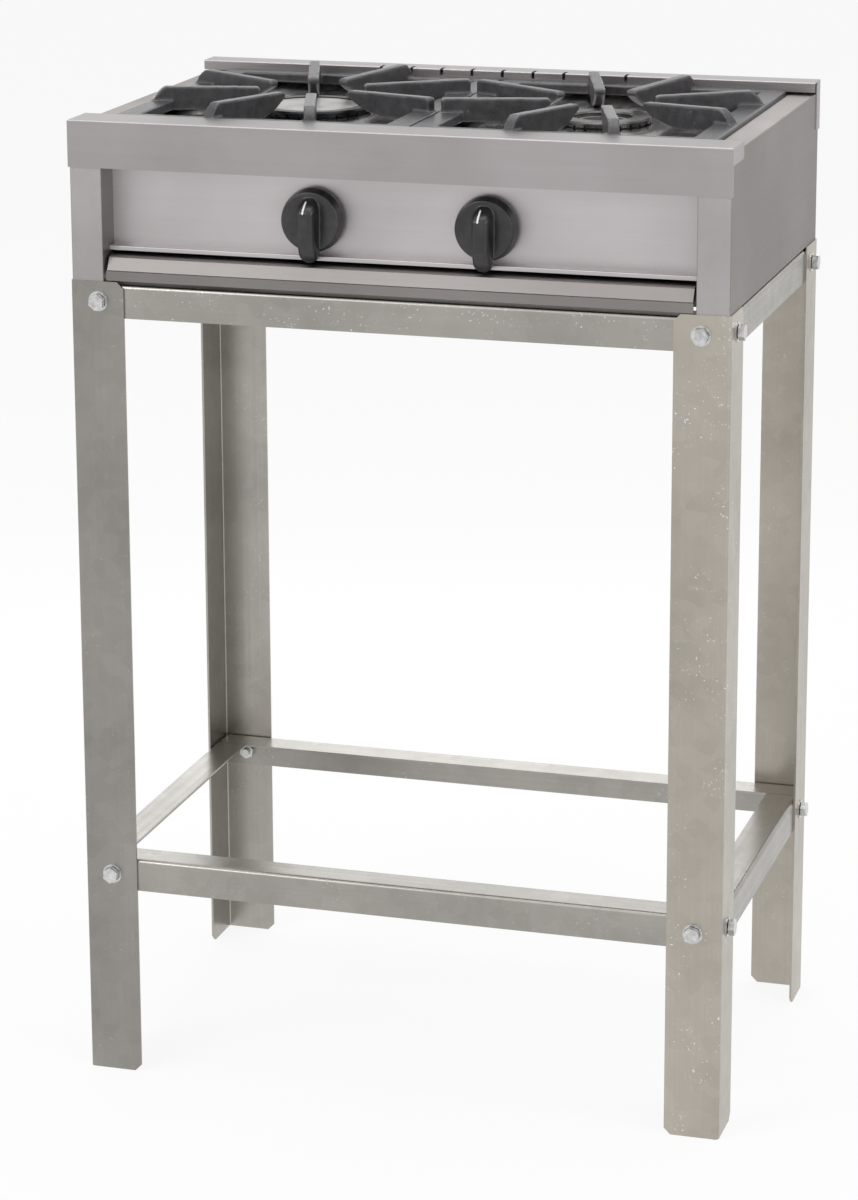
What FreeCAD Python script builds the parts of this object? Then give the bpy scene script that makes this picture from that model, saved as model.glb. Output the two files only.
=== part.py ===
"""Two-burner gas stock pot range on a bolted angle-iron stand.

Millimetres, +Z up, +Y towards the back. The origin is the middle of the overall box, on the floor.
"""
import FreeCAD, Part
import Sketcher
import math
import os
import re

V = FreeCAD.Vector

# ---------------------------------------------------------------------------
# Driving dimensions
# ---------------------------------------------------------------------------
DIMENSIONS = {
    # stand
    "stand_width": 600,
    "stand_depth": 380,
    "leg_height": 750,
    "leg_flange": 50,
    "leg_thick": 2,
    "corner_cut": 6,
    "rail_flange": 30,
    "rail_thick": 2,
    "angle_bend": 1.5,
    "joint_gap": 0.5,
    "upper_rail_drop": 3,
    "lower_rail_top": 208,
    # stand fasteners
    "bolt_size": 8,
    "bolt_edge": 26,
    "bolt_drop": 15,
    "hole_clearance": 0.5,
    "head_across_flats": 13,
    "head_thick": 5.3,
    "washer_size": 18,
    "washer_thick": 1.6,
    "nut_thick": 6.5,
    "thread_clearance": 0.1,
    "bolt_tail": 3,
    # casing
    "casing_thick": 1.2,
    "seat_inset": 1.5,
    "side_height": 138,
    "side_top_width": 24,
    "side_foot_width": 34,
    "rear_return": 14,
    "column_width": 29.5,
    "recess_depth": 28,
    "fold_radius": 1,
    "band_top": 143.5,
    "band_height": 42,
    "band_depth": 41,
    "ear_drop": 15,
    "ear_corner": 4,
    "cap_top": 150,
    "cap_depth": 26,
    "cap_face": 9,
    "cap_skirt": 30,
    "cap_ear_depth": 14,
    "cap_ear_drop": 46,
    "slot_width": 3,
    "slot_reach": 11,
    "slot_drop": 6,
    "slot_row": 240,
    "back_foot": 12,
    # control panel
    "panel_top": 120,
    "panel_lap": 8,
    "ledge_height": 30,
    "ledge_depth": 13,
    "ledge_lip": 4,
    "knob_spacing": 158,
    "knob_height": 61,
    "panel_hole": 12,
    # drip tray
    "tray_thick": 1,
    "tray_side_gap": 2.5,
    "tray_run_gap": 0.3,
    "tray_wall": 15,
    "tray_rear_gap": 40,
    "lip_setback": 0.5,
    "lip_lift": 0.8,
    "lip_height": 8.5,
    "slope_top": 24,
    "slope_overlap": 1.3,
    "lip_overlap": 0.5,
    "slope_gap": 4,
    # burner pan
    "pan_floor": 130,
    "pan_front_gap": 3,
    "hole_gap": 0.5,
    # grates
    "grate_gap": 1,
    "grate_lift": 3.5,
    "frame_thick": 9,
    "frame_side": 22,
    "frame_end": 15,
    "frame_corner": 6,
    "grate_foot": 14,
    "foot_inset": 1,
    "finger_thick": 10,
    "finger_tip_radius": 48,
    "finger_tip_low": 14.5,
    "finger_tip_high": 19.5,
    "finger_peak_high": 22,
    "finger_bevel": 2,
    "finger_belly_inset": 42,
    "finger_belly_radius": 85,
    "finger_side_angle": 25,
    "finger_end_angle": 17.5,
    "finger_peak_inset": 16,
    "finger_foot_inset": 4,
    "finger_rise_radius": 26,
    # burners
    "flange_thick": 2,
    "bowl_depth": 24,
    "bowl_wall": 4,
    "large_bowl_radius": 40,
    "large_flange_radius": 48,
    "large_cap_radius": 55,
    "large_disc_radius": 43.5,
    "disc_thick": 1.2,
    "disc_gap": 0.5,
    "small_bowl_radius": 36,
    "small_flange_radius": 39,
    "small_cap_radius": 44,
    "small_centre_radius": 27,
    "small_rim_lift": 1,
    "small_channel_radius": 20,
    "cap_skirt_thick": 3,
    "cap_web": 2,
    "cap_height": 4,
    "cap_bevel": 1.5,
    "port_width": 2.4,
    "port_height": 1.6,
    "mix_tube_radius": 14,
    "mix_bore_radius": 10,
    "mix_mouth_radius": 18,
    "mix_mouth_length": 12,
    "mix_tube_reach": 105,
    "neck_radius": 16,
    # gas train
    "bonnet_thick": 3,
    "valve_radius": 12,
    "valve_length": 34,
    "valve_foot_width": 18,
    "outlet_offset": 22,
    "outlet_reach": 20,
    "outlet_radius": 6,
    "plug_radius": 7,
    "plug_length": 27,
    "running_gap": 0.05,
    "end_gap": 0.3,
    "stem_radius": 4,
    "stem_push": 3,
    "tongue_width": 5.6,
    "tongue_length": 10,
    "spring_length": 11,
    "spring_wire": 0.7,
    "manifold_size": 20,
    "manifold_wall": 2,
    "manifold_setback": 12.8,
    "manifold_end": 12,
    "manifold_right_reach": 110,
    "bracket_spacing": 90,
    "bracket_width": 24,
    "bracket_thick": 2,
    "bracket_rise": 22,
    "supply_radius": 4,
    "supply_bore": 3,
    "elbow_width": 16,
    "elbow_bevel": 2,
    "injector_length": 12,
    "injector_radius": 7,
    "injector_nose": 3,
    "injector_gap": 2,
    "jet_radius": 0.8,
    "feed_radius": 8,
    "feed_bore": 6.5,
    "inlet_inset": 93.5,
    "inlet_shank_radius": 9,
    "inlet_shank_length": 16,
    "inlet_across_flats": 27,
    "inlet_hex_thick": 8,
    "inlet_thread_radius": 10.48,
    "inlet_thread_length": 20,
    "inlet_bore_radius": 7,
    "locknut_across_flats": 24,
    "locknut_thick": 6,
    # knobs
    "knob_gap": 4,
    "knob_radius": 28.5,
    "knob_rim": 4,
    "knob_face_radius": 26,
    "knob_depth": 14,
    "knob_dish": 1.5,
    "knob_wall": 2.2,
    "hub_radius": 8,
    "hub_setback": 1,
    "stem_grip": 10,
    "grip_width": 17,
    "grip_depth": 15,
    "grip_top": 20,
    "grip_top_slope": 8,
    "grip_tail": 36.5,
    "grip_tail_depth": 2,
    "grip_sweep": 55,
    "grip_round": 3,
    "grip_end_round": 7,
}

SLOT_COUNT = 9
LARGE_PORTS = 30
SMALL_PORTS = 26

# Sizes that follow from the driving ones, in order.
DERIVED = {
    "upper_rail_top": "leg_height - upper_rail_drop",
    "bolt_reach": "washer_thick + head_thick",
    "clamp_stack": "leg_thick + rail_thick",
    "inlet_reach": "inlet_hex_thick + inlet_thread_length - 2 * casing_thick",
    "front_plane": "-(stand_depth + inlet_reach - bolt_reach) / 2",
    "back_plane": "front_plane + stand_depth",
    "stand_half": "stand_width / 2",
    "rail_inset": "leg_thick + angle_bend + joint_gap",
    "side_rail_inset": "leg_thick + rail_thick + angle_bend + joint_gap",
    "casing_front": "front_plane + casing_thick",
    "casing_depth": "stand_depth - 2 * casing_thick",
    "casing_half": "stand_half - seat_inset",
    "column_inner": "casing_half - column_width",
    "inlet_offset": "casing_half - inlet_inset",
    "manifold_left_reach": "inlet_offset + manifold_end",
    "side_wall_inner": "casing_half - casing_thick",
    "back_panel_front": "casing_depth - 2 * casing_thick",
    "opening_half": "casing_half - side_top_width",
    "opening_back": "casing_depth - cap_depth",
    "burner_depth": "(band_depth + opening_back) / 2",
    "grate_x": "opening_half / 2",
    "grate_half_width": "(opening_half - 1.5 * grate_gap) / 2",
    "grate_half_depth": "(opening_back - band_depth) / 2 - grate_gap",
    "panel_rear": "recess_depth + casing_thick",
    "valve_face": "panel_rear + bonnet_thick",
    "manifold_front": "panel_rear + manifold_setback",
    "manifold_middle": "manifold_front + manifold_size / 2",
    "manifold_top": "knob_height - valve_radius - joint_gap",
    "manifold_bottom": "manifold_top - manifold_size",
    "outlet_y": "valve_face + outlet_offset",
    "knob_rear": "recess_depth - knob_gap",
    "tube_drop": "pan_floor - knob_height",
    "mouth_y": "burner_depth - mix_tube_reach",
    "injector_rear": "mouth_y - injector_gap",
    "injector_front": "injector_rear - injector_length",
    "tray_half": "column_inner - tray_side_gap",
    "tray_floor": "casing_thick + tray_run_gap",
    "tray_rear": "casing_depth - tray_rear_gap",
    "slope_rear": "recess_depth - slope_gap",
    "feed_height": "manifold_top - manifold_size / 2",
}

doc = FreeCAD.newDocument("stock_pot_range")
sheet = doc.addObject("Spreadsheet::Sheet", "Dims")
for row, (alias, size) in enumerate(DIMENSIONS.items(), 1):
    sheet.set(f"A{row}", alias)
    sheet.set(f"B{row}", str(size))
    sheet.setAlias(f"B{row}", alias)
doc.recompute()


def bound(expression, own=False):
    """Write the bare names of sizes as references that the document understands."""
    def reference(match):
        word = match.group(0)
        if word in DIMENSIONS:
            return "Dims." + word
        if word in DERIVED:
            return word if own else "Derived." + word
        return word
    return re.sub(r"[a-z][a-z_0-9]*", reference, str(expression))


derived = doc.addObject("App::VarSet", "Derived")
for alias, formula in DERIVED.items():
    derived.addProperty("App::PropertyFloat", alias, "Derived")
    derived.setExpression(alias, bound(formula, own=True))
    doc.recompute()


def size(expression):
    """The present value of an expression, in millimetres or degrees."""
    answer = sheet.evalExpression(bound(expression))
    return float(getattr(answer, "Value", answer))


# ---------------------------------------------------------------------------
# Drawing helpers
# ---------------------------------------------------------------------------
NODES = []


def new_body(name, x="0", y="0", z="0", turn=0):
    """An empty body of one sub-part, standing at a bound place and turned about Z."""
    body = doc.addObject("PartDesign::Body", name)
    body.Label = name
    body.Placement = FreeCAD.Placement(V(), FreeCAD.Rotation(V(0, 0, 1), turn))
    for axis, place in zip("xyz", (x, y, z)):
        body.setExpression(f"Placement.Base.{axis}", bound(place))
    NODES.append(body)
    return body


def casing_body(name, x="0", y="0", z="0"):
    """A body of the hob: its zero is the middle of the casing's front edge, on top of the legs."""
    return new_body(name, x, f"casing_front + {y}", f"leg_height + {z}")


def origin_feature(body, role):
    return next(item for item in body.Origin.OriginFeatures if item.Role == role)


def rectangle(left, right, low, high):
    return [(left, low), (right, low), (right, high), (left, high)]


def angle_section(width, height, thick, flip=""):
    """A folded angle with its corner at zero: one flange along +x, the other along +y, or -y if flipped."""
    inner = f"({thick} + angle_bend)"
    sign = "-" if flip else ""
    side = -1 if flip else 1
    return [
        (inner, "0"),
        (width, "0"),
        (width, f"{sign}{thick}"),
        (inner, f"{sign}{thick}", "angle_bend", -side),
        (thick, f"{sign}{inner}"),
        (thick, f"{sign}{height}"),
        ("0", f"{sign}{height}"),
        ("0", f"{sign}{inner}", inner, side),
    ]


def arc_between(start, end, radius, side):
    """The shorter arc from start to end; its centre lies to the left of the chord if side is 1."""
    middle = (start + end) * 0.5
    half = (end - start).Length / 2
    left = V(0, 0, 1).cross((end - start).normalize())
    centre = middle + left * (side * math.sqrt(max(radius * radius - half * half, 0)))
    crown = centre - left * (side * radius)
    return Part.Arc(start, crown, end)


def draw(body, name, plane, loops, level="0", lean=None):
    """A sketch on one of the body's own planes, with every corner bound to the sizes.

    A loop is a list of corners (x, y), where (x, y, radius, side) starts an arc to the next corner,
    or a circle ("circle", x, y, radius). lean turns the sketch's plane about its own upright axis.
    """
    sketch = body.newObject("Sketcher::SketchObject", name)
    sketch.AttachmentSupport = [(origin_feature(body, plane), "")]
    sketch.MapMode = "FlatFace"
    if lean is not None:
        sketch.AttachmentOffset = FreeCAD.Placement(V(), FreeCAD.Rotation(V(0, 1, 0), size(lean)))
        sketch.setExpression("AttachmentOffset.Rotation.Angle", bound(lean))
    sketch.setExpression("AttachmentOffset.Base.z", bound(level))

    def tie(kind, place, expression, *items):
        number = sketch.addConstraint(Sketcher.Constraint(kind, *items, place))
        label = f"{kind}_{number}"
        sketch.renameConstraint(number, label)
        sketch.setExpression(f"Constraints.{label}", bound(expression))

    for loop in loops:
        first = sketch.GeometryCount
        if loop[0] == "circle":
            _, x, y, radius = loop
            sketch.addGeometry(Part.Circle(V(size(x), size(y), 0), V(0, 0, 1), size(radius)))
            tie("DistanceX", size(x), x, -1, 1, first, 3)
            tie("DistanceY", size(y), y, -1, 1, first, 3)
            tie("Radius", size(radius), radius, first)
            continue
        corners = [V(size(corner[0]), size(corner[1]), 0) for corner in loop]
        count = len(corners)
        for index in range(count):
            start, end = corners[index], corners[(index + 1) % count]
            if len(loop[index]) == 4:
                radius, side = loop[index][2:]
                sketch.addGeometry(arc_between(start, end, size(radius), side))
            else:
                sketch.addGeometry(Part.LineSegment(start, end))
        for index in range(count):
            # An arc that bends clockwise is stored from its end to its start.
            begins, ends = 1, 2
            if len(loop[index]) == 4 and loop[index][3] == -1:
                begins, ends = 2, 1
            x, y = loop[index][:2]
            tie("DistanceX", corners[index].x, x, -1, 1, first + index, begins)
            tie("DistanceY", corners[index].y, y, -1, 1, first + index, begins)
            after = (index + 1) % count
            joins = 2 if len(loop[after]) == 4 and loop[after][3] == -1 else 1
            sketch.addConstraint(
                Sketcher.Constraint("Coincident", first + index, ends, first + after, joins))
            if len(loop[index]) == 4:
                tie("Radius", size(loop[index][2]), loop[index][2], first + index)
    sketch.recompute()
    return sketch


def pad(body, name, sketch, length, symmetric=False, backwards=False):
    feature = body.newObject("PartDesign::Pad", name)
    feature.Profile = sketch
    feature.SideType = "Symmetric" if symmetric else "One side"
    feature.Reversed = backwards
    feature.setExpression("Length", bound(length))
    doc.recompute()
    return feature


def cut(body, name, sketch, length=None, backwards=False):
    """A pocket right through both ways, or of one length; it has to take something away."""
    before = body.Shape.Volume
    feature = body.newObject("PartDesign::Pocket", name)
    feature.Profile = sketch
    if length is None:
        feature.SideType = "Symmetric"
        feature.Type = "ThroughAll"
    else:
        feature.Reversed = backwards
        feature.setExpression("Length", bound(length))
    doc.recompute()
    if not body.Shape.Volume < before - 1e-3:
        raise RuntimeError(f"{body.Label}: {name} cuts nothing")
    return feature


def turned(body, name, sketch, axis):
    feature = body.newObject("PartDesign::Revolution", name)
    feature.Profile = sketch
    feature.ReferenceAxis = (sketch, [axis])
    feature.Angle = 360
    doc.recompute()
    return feature


def repeat_round(body, name, feature, count):
    pattern = body.newObject("PartDesign::PolarPattern", name)
    pattern.Originals = [feature]
    pattern.Axis = (origin_feature(body, "Z_Axis"), [""])
    pattern.Angle = 360
    pattern.Occurrences = count
    body.Tip = pattern
    doc.recompute()
    return pattern


def repeat_line(body, name, feature, count, length):
    pattern = body.newObject("PartDesign::LinearPattern", name)
    pattern.Originals = [feature]
    pattern.Direction = (origin_feature(body, "X_Axis"), [""])
    pattern.setExpression("Length", bound(length))
    pattern.Occurrences = count
    body.Tip = pattern
    doc.recompute()
    return pattern


def dress(body, name, kind, amount, spots):
    """Round or bevel the edges whose middles are nearest to the spots, given in the body's own frame."""
    base = body.Tip
    shape = base.Shape
    found = []
    for spot in spots:
        point = V(*(size(value) for value in spot))
        nearest = min(range(len(shape.Edges)),
                      key=lambda index: (shape.Edges[index].CenterOfMass - point).Length)
        found.append(f"Edge{nearest + 1}")
    feature = body.newObject(f"PartDesign::{kind}", name)
    feature.Base = (base, sorted(set(found)))
    feature.setExpression("Radius" if kind == "Fillet" else "Size", bound(amount))
    doc.recompute()
    return feature


# ---------------------------------------------------------------------------
# Stand: folded angle legs and rails, bolted at the corners
# ---------------------------------------------------------------------------
def make_leg(name, x, y, turn):
    leg = new_body(name, x, y, "0", turn)
    section = draw(leg, name + "_section", "XY_Plane",
                   [angle_section("leg_flange", "leg_flange", "leg_thick")])
    pad(leg, name + "_angle", section, "leg_height")
    middle = "leg_thick / 2"
    dress(leg, name + "_cropped", "Chamfer", "corner_cut", [
        spot
        for level in ("0", "leg_height")
        for spot in (("leg_flange", middle, level), (middle, "leg_flange", level))
    ])
    holes = [
        ("circle", "bolt_edge", f"{rail} - bolt_drop", "bolt_size / 2 + hole_clearance")
        for rail in ("upper_rail_top", "lower_rail_top")
    ]
    for plane in ("XZ_Plane", "YZ_Plane"):
        cut(leg, f"{name}_holes_{plane[:2]}", draw(leg, f"{name}_marks_{plane[:2]}", plane, holes))


make_leg("leg_front_left", "-stand_half", "front_plane", 0)
make_leg("leg_front_right", "stand_half", "front_plane", 90)
make_leg("leg_rear_right", "stand_half", "back_plane", 180)
make_leg("leg_rear_left", "-stand_half", "back_plane", 270)


def make_rail(name, span, inset, notch, x, y, z, turn):
    """An angle rail along its own X, outer face at y 0, top at z 0, with its flange notched at both ends."""
    rail = new_body(name, x, y, z, turn)
    length = f"({span} - 2 * {inset})"
    section = draw(rail, name + "_section", "YZ_Plane",
                   [angle_section("rail_flange", "rail_flange", "rail_thick", flip="-")])
    pad(rail, name + "_angle", section, length, symmetric=True)
    ends = [
        rectangle(*sorted_ends, "rail_thick + angle_bend", "rail_flange + joint_gap")
        for sorted_ends in (
            (f"-{length} / 2 - joint_gap", f"-{length} / 2 + {notch}"),
            (f"{length} / 2 - {notch}", f"{length} / 2 + joint_gap"),
        )
    ]
    cut(rail, name + "_notches", draw(rail, name + "_notch_lines", "XY_Plane", ends))
    holes = [
        ("circle", f"{sign}({span} / 2 - bolt_edge)", "-bolt_drop", "bolt_size / 2 + hole_clearance")
        for sign in ("-", "")
    ]
    cut(rail, name + "_holes", draw(rail, name + "_marks", "XZ_Plane", holes))


FACE_INSET = "leg_thick"
for level in ("upper", "lower"):
    top = f"{level}_rail_top"
    across_notch = "(side_rail_inset - rail_inset)"
    make_rail(f"{level}_rail_front", "stand_width", "rail_inset", across_notch,
              "0", f"front_plane + {FACE_INSET}", top, 0)
    make_rail(f"{level}_rail_rear", "stand_width", "rail_inset", across_notch,
              "0", f"back_plane - {FACE_INSET}", top, 180)
    along_notch = "(leg_thick + rail_flange + joint_gap - side_rail_inset)"
    middle_y = "(front_plane + back_plane) / 2"
    make_rail(f"{level}_rail_left", "stand_depth", "side_rail_inset", along_notch,
              f"-stand_half + {FACE_INSET}", middle_y, top, 270)
    make_rail(f"{level}_rail_right", "stand_depth", "side_rail_inset", along_notch,
              f"stand_half - {FACE_INSET}", middle_y, top, 90)


def hexagon(across_flats):
    """Corners of a hexagon with two flats square to x."""
    corner = f"({across_flats}) / 2 / cos(30)"
    return [(f"{corner} * cos({turn})", f"{corner} * sin({turn})") for turn in range(30, 390, 60)]


def fastener_places():
    """Every bolt's seat on the outside of a leg: its place and the rotation of +Z to point outwards."""
    half, edge = size("stand_half"), size("bolt_edge")
    front, back = size("front_plane"), size("back_plane")
    for rail in ("upper_rail_top", "lower_rail_top"):
        level = size(f"{rail} - bolt_drop")
        for x_sign in (-1, 1):
            for y, y_sign in ((front, -1), (back, 1)):
                across = V(x_sign * (half - edge), y, level)
                along = V(x_sign * half, y - y_sign * edge, level)
                yield across, FreeCAD.Rotation(V(0, 0, 1), V(0, y_sign, 0))
                yield along, FreeCAD.Rotation(V(0, 0, 1), V(x_sign, 0, 0))


def fastener_group(name, pattern):
    """One node of separate solids: the pattern body's solid at every bolt place."""
    solids = []
    for place, rotation in fastener_places():
        solid = pattern.Shape.Solids[0].copy()
        solid.Placement = FreeCAD.Placement(place, rotation)
        solids.append(solid)
    group = doc.addObject("Part::Feature", name)
    group.Label = name
    group.Shape = Part.makeCompound(solids)
    group.Placement = FreeCAD.Placement()
    NODES.append(group)
    NODES.remove(pattern)
    return group


bolt = new_body("one_bolt")
pad(bolt, "bolt_head", draw(bolt, "bolt_head_outline", "XY_Plane", [hexagon("head_across_flats")],
                            level="washer_thick"), "head_thick")
pad(bolt, "bolt_shank", draw(bolt, "bolt_shank_outline", "XY_Plane", [("circle", "0", "0", "bolt_size / 2")],
                             level="washer_thick"),
    "washer_thick + clamp_stack + nut_thick + bolt_tail", backwards=True)
washer = new_body("one_washer")
pad(washer, "washer_ring", draw(washer, "washer_outline", "XY_Plane", [
    ("circle", "0", "0", "washer_size / 2"),
    ("circle", "0", "0", "bolt_size / 2 + hole_clearance")]), "washer_thick")
nut = new_body("one_nut")
pad(nut, "nut_hexagon", draw(nut, "nut_outline", "XY_Plane", [
    hexagon("head_across_flats"),
    ("circle", "0", "0", "bolt_size / 2 + thread_clearance")], level="-clamp_stack"),
    "nut_thick", backwards=True)
fastener_group("stand_bolts", bolt)
fastener_group("stand_washers", washer)
fastener_group("stand_nuts", nut)


# ---------------------------------------------------------------------------
# Casing: folded stainless sheet
# ---------------------------------------------------------------------------
def make_side_panel(name, sign):
    """One side: outer wall, front column, the column's return to the control panel, top and foot flanges."""
    panel = casing_body(name)

    def x(expression):
        return f"{sign}({expression})"

    plan = [
        (x("column_inner"), "recess_depth"),
        (x("column_inner"), "0"),
        (x("casing_half"), "0"),
        (x("casing_half"), "casing_depth"),
        (x("casing_half - rear_return"), "casing_depth"),
        (x("casing_half - rear_return"), "casing_depth - casing_thick"),
        (x("side_wall_inner"), "casing_depth - casing_thick"),
        (x("side_wall_inner"), "casing_thick"),
        (x("column_inner + casing_thick"), "casing_thick"),
        (x("column_inner + casing_thick"), "recess_depth"),
    ]
    pad(panel, name + "_wall", draw(panel, name + "_plan", "XY_Plane", [plan]), "side_height")
    flange_back = "back_panel_front - joint_gap"
    flange = rectangle(x("opening_half"), x("casing_half"), "0", flange_back)
    pad(panel, name + "_flange", draw(panel, name + "_flange_plan", "XY_Plane", [flange],
                                      level="side_height"), "casing_thick", backwards=True)
    foot = rectangle(x("casing_half - side_foot_width"), x("casing_half"), "recess_depth", flange_back)
    pad(panel, name + "_foot", draw(panel, name + "_foot_plan", "XY_Plane", [foot]), "casing_thick")
    half_up = "side_height / 2"
    dress(panel, name + "_folds", "Fillet", "fold_radius", [
        (x("casing_half"), "0", half_up),
        (x("casing_half"), "casing_depth", half_up),
        (x("column_inner"), "0", half_up),
        (x("casing_half"), "casing_depth / 2", "side_height"),
    ])


make_side_panel("side_panel_left", "-")
make_side_panel("side_panel_right", "")


def add_ears(body, name, outline, corner_spots):
    """A tab folded down over each side panel, with its free corners rounded."""
    for side, level in (("right", "casing_half"), ("left", "-casing_half - casing_thick")):
        pad(body, f"{name}_{side}", draw(body, f"{name}_{side}_outline", "YZ_Plane", [outline], level=level),
            "casing_thick")
    dress(body, name + "_corners", "Fillet", "ear_corner", [
        (f"{sign}(casing_half + casing_thick / 2)", y, z)
        for sign in ("-", "")
        for y, z in corner_spots
    ])


band = casing_body("front_band")
pad(band, "band_fold", draw(band, "band_section", "YZ_Plane", [[
    ("-casing_thick", "band_top - band_height"),
    ("0", "band_top - band_height"),
    ("0", "band_top - casing_thick"),
    ("band_depth", "band_top - casing_thick"),
    ("band_depth", "band_top"),
    ("-casing_thick", "band_top"),
]]), "2 * (casing_half + casing_thick)", symmetric=True)
add_ears(band, "band_ear",
         rectangle("-casing_thick", "band_depth", "band_top - ear_drop", "band_top"),
         [("band_depth", "band_top - ear_drop")])
dress(band, "band_folds", "Fillet", "fold_radius", [
    ("0", "-casing_thick", "band_top"),
    ("casing_half + casing_thick", "band_depth / 2", "band_top"),
    ("-casing_half - casing_thick", "band_depth / 2", "band_top"),
])

cap = casing_body("back_rail")
pad(cap, "rail_fold", draw(cap, "rail_section", "YZ_Plane", [[
    ("opening_back", "cap_top - cap_face"),
    ("opening_back + casing_thick", "cap_top - cap_face"),
    ("opening_back + casing_thick", "cap_top - casing_thick"),
    ("casing_depth", "cap_top - casing_thick"),
    ("casing_depth", "cap_top - cap_skirt"),
    ("casing_depth + casing_thick", "cap_top - cap_skirt"),
    ("casing_depth + casing_thick", "cap_top"),
    ("opening_back", "cap_top"),
]]), "2 * (casing_half + casing_thick)", symmetric=True)
add_ears(cap, "rail_ear",
         rectangle("casing_depth - cap_ear_depth", "casing_depth + casing_thick",
                   "cap_top - cap_ear_drop", "cap_top"),
         [("casing_depth - cap_ear_depth", "cap_top - cap_ear_drop")])
dress(cap, "rail_folds", "Fillet", "fold_radius", [
    ("0", "opening_back", "cap_top"),
    ("0", "casing_depth + casing_thick", "cap_top"),
])
slot = cut(cap, "rail_slot", draw(cap, "slot_outline", "XZ_Plane", [
    rectangle("-(slot_row + slot_width) / 2", "-(slot_row - slot_width) / 2",
              "cap_top - slot_drop", "cap_top + joint_gap")], level="-opening_back + joint_gap"),
    "slot_reach + joint_gap")
repeat_line(cap, "rail_slots", slot, SLOT_COUNT, "slot_row")

back = casing_body("back_panel")
pad(back, "back_sheet", draw(back, "back_outline", "XZ_Plane", [
    rectangle("-side_wall_inner", "side_wall_inner", "0", "cap_top - casing_thick"),
    ("circle", "-inlet_offset", "feed_height", "inlet_shank_radius + hole_clearance"),
], level="-back_panel_front"), "casing_thick", backwards=True)
pad(back, "back_fold", draw(back, "back_foot_outline", "XY_Plane", [
    rectangle("-(casing_half - side_foot_width - joint_gap)", "casing_half - side_foot_width - joint_gap",
              "back_panel_front - back_foot", "back_panel_front")]), "casing_thick")

panel = casing_body("control_panel")
pad(panel, "panel_face", draw(panel, "panel_outline", "XZ_Plane", [
    rectangle("-(column_inner + panel_lap)", "column_inner + panel_lap", "ledge_height", "panel_top"),
    ("circle", "-knob_spacing / 2", "knob_height", "panel_hole / 2"),
    ("circle", "knob_spacing / 2", "knob_height", "panel_hole / 2"),
], level="-recess_depth"), "casing_thick", backwards=True)
pad(panel, "panel_folds", draw(panel, "panel_section", "YZ_Plane", [
    [
        ("panel_rear", "ledge_height - casing_thick"),
        ("panel_rear", "ledge_height"),
        ("recess_depth - ledge_depth", "ledge_height"),
        ("recess_depth - ledge_depth", "ledge_height - ledge_lip"),
        ("recess_depth - ledge_depth + casing_thick", "ledge_height - ledge_lip"),
        ("recess_depth - ledge_depth + casing_thick", "ledge_height - casing_thick"),
    ],
    rectangle("0", "panel_rear", "panel_top - casing_thick", "panel_top"),
]), "2 * (column_inner - joint_gap)", symmetric=True)
dress(panel, "panel_ledge_fold", "Fillet", "fold_radius", [
    ("0", "recess_depth - ledge_depth", "ledge_height"),
])

# ---------------------------------------------------------------------------
# Drip tray: pulls out forwards on the feet of the side panels
# ---------------------------------------------------------------------------
tray = casing_body("drip_tray")
tray_top = "(tray_floor + tray_wall)"
pad(tray, "tray_fold", draw(tray, "tray_section", "YZ_Plane", [[
    ("lip_setback", "lip_lift"),
    ("lip_setback", "lip_lift + lip_height"),
    ("slope_rear", "slope_top"),
    ("slope_rear + tray_thick", "slope_top"),
    ("slope_rear + tray_thick", "tray_floor + tray_thick"),
    ("tray_rear - tray_thick", "tray_floor + tray_thick"),
    ("tray_rear - tray_thick", tray_top),
    ("tray_rear", tray_top),
    ("tray_rear", "tray_floor"),
    ("slope_rear", "tray_floor"),
    ("slope_rear", "slope_top - slope_overlap"),
    ("lip_setback + tray_thick", "lip_lift + lip_height - lip_overlap"),
    ("lip_setback + tray_thick", "lip_lift"),
]]), "2 * tray_half", symmetric=True)
for side, level in (("right", "tray_half - tray_thick"), ("left", "-tray_half")):
    pad(tray, f"tray_side_{side}", draw(tray, f"tray_side_{side}_outline", "YZ_Plane", [
        rectangle("slope_rear", "tray_rear", "tray_floor", tray_top)], level=level), "tray_thick")

# ---------------------------------------------------------------------------
# Burner pan, and the two burners that drop through it
# ---------------------------------------------------------------------------
pan = casing_body("burner_pan")
pan_front = "(panel_rear + pan_front_gap)"
pan_bottom = "(pan_floor - casing_thick)"
pad(pan, "pan_sheet", draw(pan, "pan_outline", "XY_Plane", [
    rectangle("-side_wall_inner", "side_wall_inner", pan_front, "back_panel_front"),
    ("circle", "-grate_x", "burner_depth", "large_bowl_radius + hole_gap"),
    ("circle", "grate_x", "burner_depth", "small_bowl_radius + hole_gap"),
], level=pan_bottom), "casing_thick")
pad(pan, "pan_front_wall", draw(pan, "pan_front_outline", "XY_Plane", [
    rectangle("-opening_half", "opening_half", pan_front, f"{pan_front} + casing_thick")],
    level=pan_bottom), "band_top - casing_thick - " + pan_bottom)
pad(pan, "pan_rear_wall", draw(pan, "pan_rear_outline", "XY_Plane", [
    rectangle("-opening_half", "opening_half", "back_panel_front - casing_thick", "back_panel_front")],
    level=pan_bottom), "side_height - " + pan_bottom)
for side, edges in (("left", ("-side_wall_inner", "-side_wall_inner + casing_thick")),
                    ("right", ("side_wall_inner - casing_thick", "side_wall_inner"))):
    pad(pan, f"pan_wall_{side}", draw(pan, f"pan_wall_{side}_outline", "XY_Plane", [
        rectangle(*edges, pan_front, "back_panel_front - joint_gap")], level=pan_bottom),
        "side_height - casing_thick - " + pan_bottom)


def burner_body(name, x):
    """A burner's zero is on its own axis, on the floor of the pan."""
    return casing_body(name, x, "burner_depth", "pan_floor")


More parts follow.
